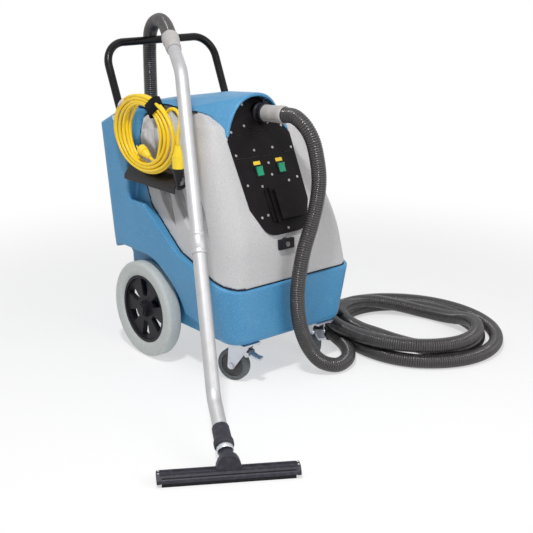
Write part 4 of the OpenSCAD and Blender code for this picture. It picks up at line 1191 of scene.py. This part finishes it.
@dataclass
class Wand(Assembly):
    """Bent aluminium wand in two tubes, with a hose cuff at its top."""

    origin: tuple[float, float] = (-547.0, -801.0)
    heading: float = 62.25
    corners: tuple[tuple[float, float], ...] = ((0, 34), (214, 122), (702, 905), (930, 976))
    bend: float = 80.0
    diameter: float = 38.0
    joint: float = 420.0

    def spot(self, point: Sequence[float]) -> Triple:
        """Gives a point of the wand's upright plane as a machine point."""
        turn = math.radians(self.heading)
        return (self.origin[0] + point[0] * math.cos(turn), self.origin[1] + point[0] * math.sin(turn), point[1])

    def stretch(self, corner: int) -> tuple[np.ndarray, np.ndarray, float]:
        """Gives one straight stretch's start, direction and length in the plane."""
        start, end = np.array(self.corners[corner], float), np.array(self.corners[corner + 1], float)
        reach = float(np.linalg.norm(end - start))
        return start, (end - start) / reach, reach

    def frame(self, corner: int, distance: float) -> Matrix:
        """Gives the frame at a distance along a stretch, with Z running up the wand."""
        start, way, _ = self.stretch(corner)
        here, ahead = (self.datum.at(self.spot(start + way * d)) for d in (distance, distance + 10))
        return upright(here, ahead - here)

    def tube(self, name: str, first: Sequence[float], corner: int, last: Sequence[float], *nodes: str) -> None:
        """Sweeps one tube round its corner."""
        corners = [self.spot(first), self.spot(self.corners[corner]), self.spot(last)]
        path = self.datum.all(rounded(corners, self.bend))
        self.add(sweep(name, path, self.diameter / 2 * MM, 48), Finishes.ALUMINIUM, *nodes)

    def build(self) -> None:
        """Sweeps the tubes and turns the sleeve and the cuff."""
        (foot, foot_way, _), (low, way, _), (top, top_way, reach) = (self.stretch(i) for i in range(3))
        meet = low + way * self.joint
        self.tube("wand_lower_tube", foot + foot_way * 60, 1, meet, "wand_lower")
        self.tube("wand_upper_tube", meet, 2, top + top_way * (reach - 30), "wand_upper")
        r = self.diameter / 2
        sleeve = [(r, 0), (r + 1.6, 0.4), (r + 2, 1.4), (r + 2, 8), (r + 1.2, 10), (r + 1.2, 13), (r + 2, 15),
                  (r + 2, 45), (r + 1.2, 47), (r + 1.2, 50), (r + 2, 52), (r + 2, 58.6), (r + 1.6, 59.6), (r, 60)]
        self.add(lathe("wand_joint_sleeve", sleeve, self.frame(1, self.joint - 30)), Finishes.ALUMINIUM,
                 "wand_sleeve")
        cuff = [(19, 0.5), (21, 0.5), (22, 2), (22.3, 14), (23.2, 16), (23.6, 20), (22.9, 23), (23.6, 38),
                (24.6, 56), (25.4, 60), (25.9, 64), (25.2, 67), (25.8, 76), (26.4, 80), (26.5, 88), (25.6, 91),
                (24, 92), (22.6, 92), (22.6, 68), (19, 62)]
        self.add(lathe("wand_hose_cuff", cuff, self.frame(2, reach - 92)), Finishes.CUFF, "wand_cuff")


@dataclass
class Squeegee(Wand):
    """Floor squeegee at the wand's foot, with the neck, clamp and collar that hold it."""

    head_at: tuple[float, float] = (-546.0, -799.0)
    head_turn: float = -31.6
    long: float = 356.0
    deep: float = 50.0

    def build(self) -> None:
        """Draws out the head and turns what joins it to the wand."""
        place = Matrix.Translation(self.datum.at((*self.head_at, 0))) @ Matrix.Rotation(
            math.radians(self.head_turn), 4, "Z")
        self.head(place)
        self.keep(Finishes.BLADE, "squeegee_blades", edge=0.3)
        self.screws(place)
        self.neck()

    def head(self, place: Matrix) -> None:
        """Draws out the channel, its end caps and the gusset that the neck grows from."""
        half, end = self.deep / 2, self.long / 2
        channel = [(-half + 4, 9), (half - 4, 9), (half, 12), (half - 1, 19), (half - 9, 25), (12, 27), (11, 32),
                   (6, 32), (5, 28), (-5, 28), (-6, 32), (-11, 32), (-12, 27), (9 - half, 25), (1 - half, 19),
                   (-half, 12)]
        body = prism("squeegee_channel", channel, place, 9 - end, end - 9, 0.8)
        self.add(body, Finishes.HEAD, "squeegee_head")
        cap = [(3 - half, 8), (half - 3, 8), (half, 11), (half - 0.6, 19), (half - 8.6, 26), (11, 31),
               (-11, 31), (8.6 - half, 26), (0.6 - half, 19), (-half, 11)]
        for side, name in ((-1, "left"), (1, "right")):
            ends = sorted((side * (end - 10), side * end))
            self.add(prism(f"squeegee_{name}_cap", cap, place, *ends, 1.6), Finishes.HEAD)
        across = place @ Matrix.Rotation(math.radians(90), 4, "Z")
        gusset = [(-33, 27), (33, 27), (31, 40), (26, 54), (19, 64), (9, 70), (-9, 70), (-19, 64), (-26, 54),
                  (-31, 40)]
        self.add(prism("squeegee_gusset", gusset, across, -12, 12, 3.0), Finishes.HEAD)

    def screws(self, place: Matrix) -> None:
        """Turns the domed screws that hold the end caps."""
        dome = [(0.4, 30.4), (3, 30.4), (3, 31.4), (2.4, 32.4), (1.2, 32.9), (0.4, 33)]
        for i, (side, off) in enumerate((s, t) for s in (-1, 1) for t in (-7, 7)):
            here = place @ Matrix.Translation((side * (self.long / 2 - 5) * MM, off * MM, 0))
            nodes = ("squeegee_screws",) if i == 0 else ()
            self.add(lathe(f"squeegee_screw_{i + 1}", dome, here, 24), Finishes.SCREW, *nodes)

    def neck(self) -> None:
        """Turns the neck, the steel band and the fluted collar up the wand."""
        neck = [(8, 2), (16, 2), (18, 8), (18.6, 22), (17.6, 26), (17.6, 44), (8, 44)]
        self.add(lathe("squeegee_neck", neck, self.frame(0, 6), 64), Finishes.HEAD)
        steel = [(17, 0), (20.8, 0), (21.4, 1), (21.4, 15), (20.8, 16), (17, 16)]
        self.add(lathe("collar_steel_band", steel, self.frame(0, 48), 64), Finishes.ZINC, "collar_band")
        collar = [(17, 0), (22, 0), (25, 1.5, 0.8), (26, 5, 1.4), (26, 17, 1.4), (25, 20.5, 0.8), (23.2, 22),
                  (23, 25, 1.0), (22.4, 62, 1.0), (21.6, 66, 0.6), (20.4, 67), (19.1, 67), (19.1, 8), (17, 8)]
        self.add(lathe("squeegee_fluted_collar", collar, self.frame(0, 63), 144, 24), Finishes.HEAD,
                 "squeegee_collar")


@dataclass
class Brackets(Assembly):
    """Sloped side shelves that the cord hangs over."""

    def build(self) -> None:
        """Dresses both shelves."""
        self.keep(Finishes.BRACKET, "side_brackets", edge=0.9)


@dataclass
class DrainValve(Assembly):
    """Drain on the rear wall with its quarter-turn lever."""

    def build(self) -> None:
        """Dresses the valve and its lever."""
        self.keep(Finishes.MOULDED, "drain_valve", edge=0.8)
        self.keep(Finishes.LEVER, "drain_lever", edge=0.8)


# ---------------------------------------------------------------- studio


@dataclass(frozen=True)
class Lamp:
    """A square soft lamp: where it hangs and points, its side in millimetres and its power in watts."""

    name: str
    place: Triple
    target: Triple
    size: float
    power: float


@dataclass
class Studio:
    """Camera, lamps, white world and floor."""

    datum: Datum
    eye: Triple = (-1988.96, -2646.19, 1300.68)
    right: Triple = (0.76433576, -0.64480892, 0.00350679)
    up: Triple = (0.19443941, 0.23566067, 0.95218557)
    ahead: Triple = (0.61480417, 0.72710763, -0.30550014)
    lens: float = 72.1
    ambient: float = 0.36
    floor_reach: float = 14.0
    lamps: tuple[Lamp, ...] = (
        Lamp("key", (-1500, -1430, 3650), (0, -150, 450), 320, 84),
        Lamp("soft_top", (100, -300, 2700), (0, -100, 300), 2000, 3),
        Lamp("soft_front", (300, -3000, 1300), (0, -100, 450), 1500, 18),
    )

    def build(self) -> None:
        """Sets up the view, the light and the floor."""
        self.camera()
        self.world()
        for lamp in self.lamps:
            self.hang(lamp)
        self.floor()
        bpy.context.scene.view_settings.view_transform = "Standard"

    def camera(self) -> None:
        """Stands the camera at the view of the machine's front and left side."""
        lens = bpy.data.cameras.new("view")
        lens.lens, lens.sensor_width, lens.clip_end = self.lens, 36, 50
        eye = add_object("view", lens)
        columns = (Vector(self.right), Vector(self.up), -Vector(self.ahead))
        turn = Matrix(columns).transposed().to_4x4()
        eye.matrix_world = Matrix.Translation(self.datum.at(self.eye)) @ turn
        bpy.context.scene.camera = eye

    def hang(self, lamp: Lamp) -> None:
        """Hangs a lamp at its place and aims it at its target."""
        light = bpy.data.lights.new(lamp.name, "AREA")
        light.size, light.energy = lamp.size * MM, lamp.power
        hung = add_object(lamp.name, light)
        hung.location = self.datum.at(lamp.place)
        way = self.datum.at(lamp.target) - hung.location
        hung.rotation_euler = way.to_track_quat("-Z", "Y").to_euler()

    def world(self) -> None:
        """Makes a world that looks white and lights softly."""
        world = bpy.data.worlds.new("white_room")
        bpy.context.scene.world = world
        world.use_nodes = True
        room = Nodes(world.node_tree, "ShaderNodeOutputWorld")
        soft, white = (room.node("ShaderNodeBackground", None, {"Color": WHITE, "Strength": strength})
                       for strength in (self.ambient, 1.0))
        both = room.node("ShaderNodeMixShader", None, {0: room.plain_rays(), 1: soft, 2: white})
        room.feed(room.out.inputs[0], both)

    def floor(self) -> None:
        """Lays the white floor under and far behind the machine."""
        corners = ((-1, -1), (1, -1), (1, 1), (-1, 1))
        points = np.array([(x * self.floor_reach, y * self.floor_reach, 0.0) for x, y in corners])
        ground = mesh_object("studio_floor", points, [(0, 1, 2, 3)])
        ground.data.materials.append(Finishes.FLOOR.value.material())


def main() -> None:
    """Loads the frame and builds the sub-assemblies in order."""
    logging.basicConfig(level=logging.INFO, format="%(message)s")
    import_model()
    datum = Datum.from_wheels()
    Studio(datum).build()
    for assembly in (VacuumHose, PowerCord, Pigtail, TankBody, ControlPanel, PushHandle, RearWheels, Casters,
                     Wand, Squeegee, Brackets, DrainValve):
        assembly(datum).build()


if __name__ == "__main__":
    main()
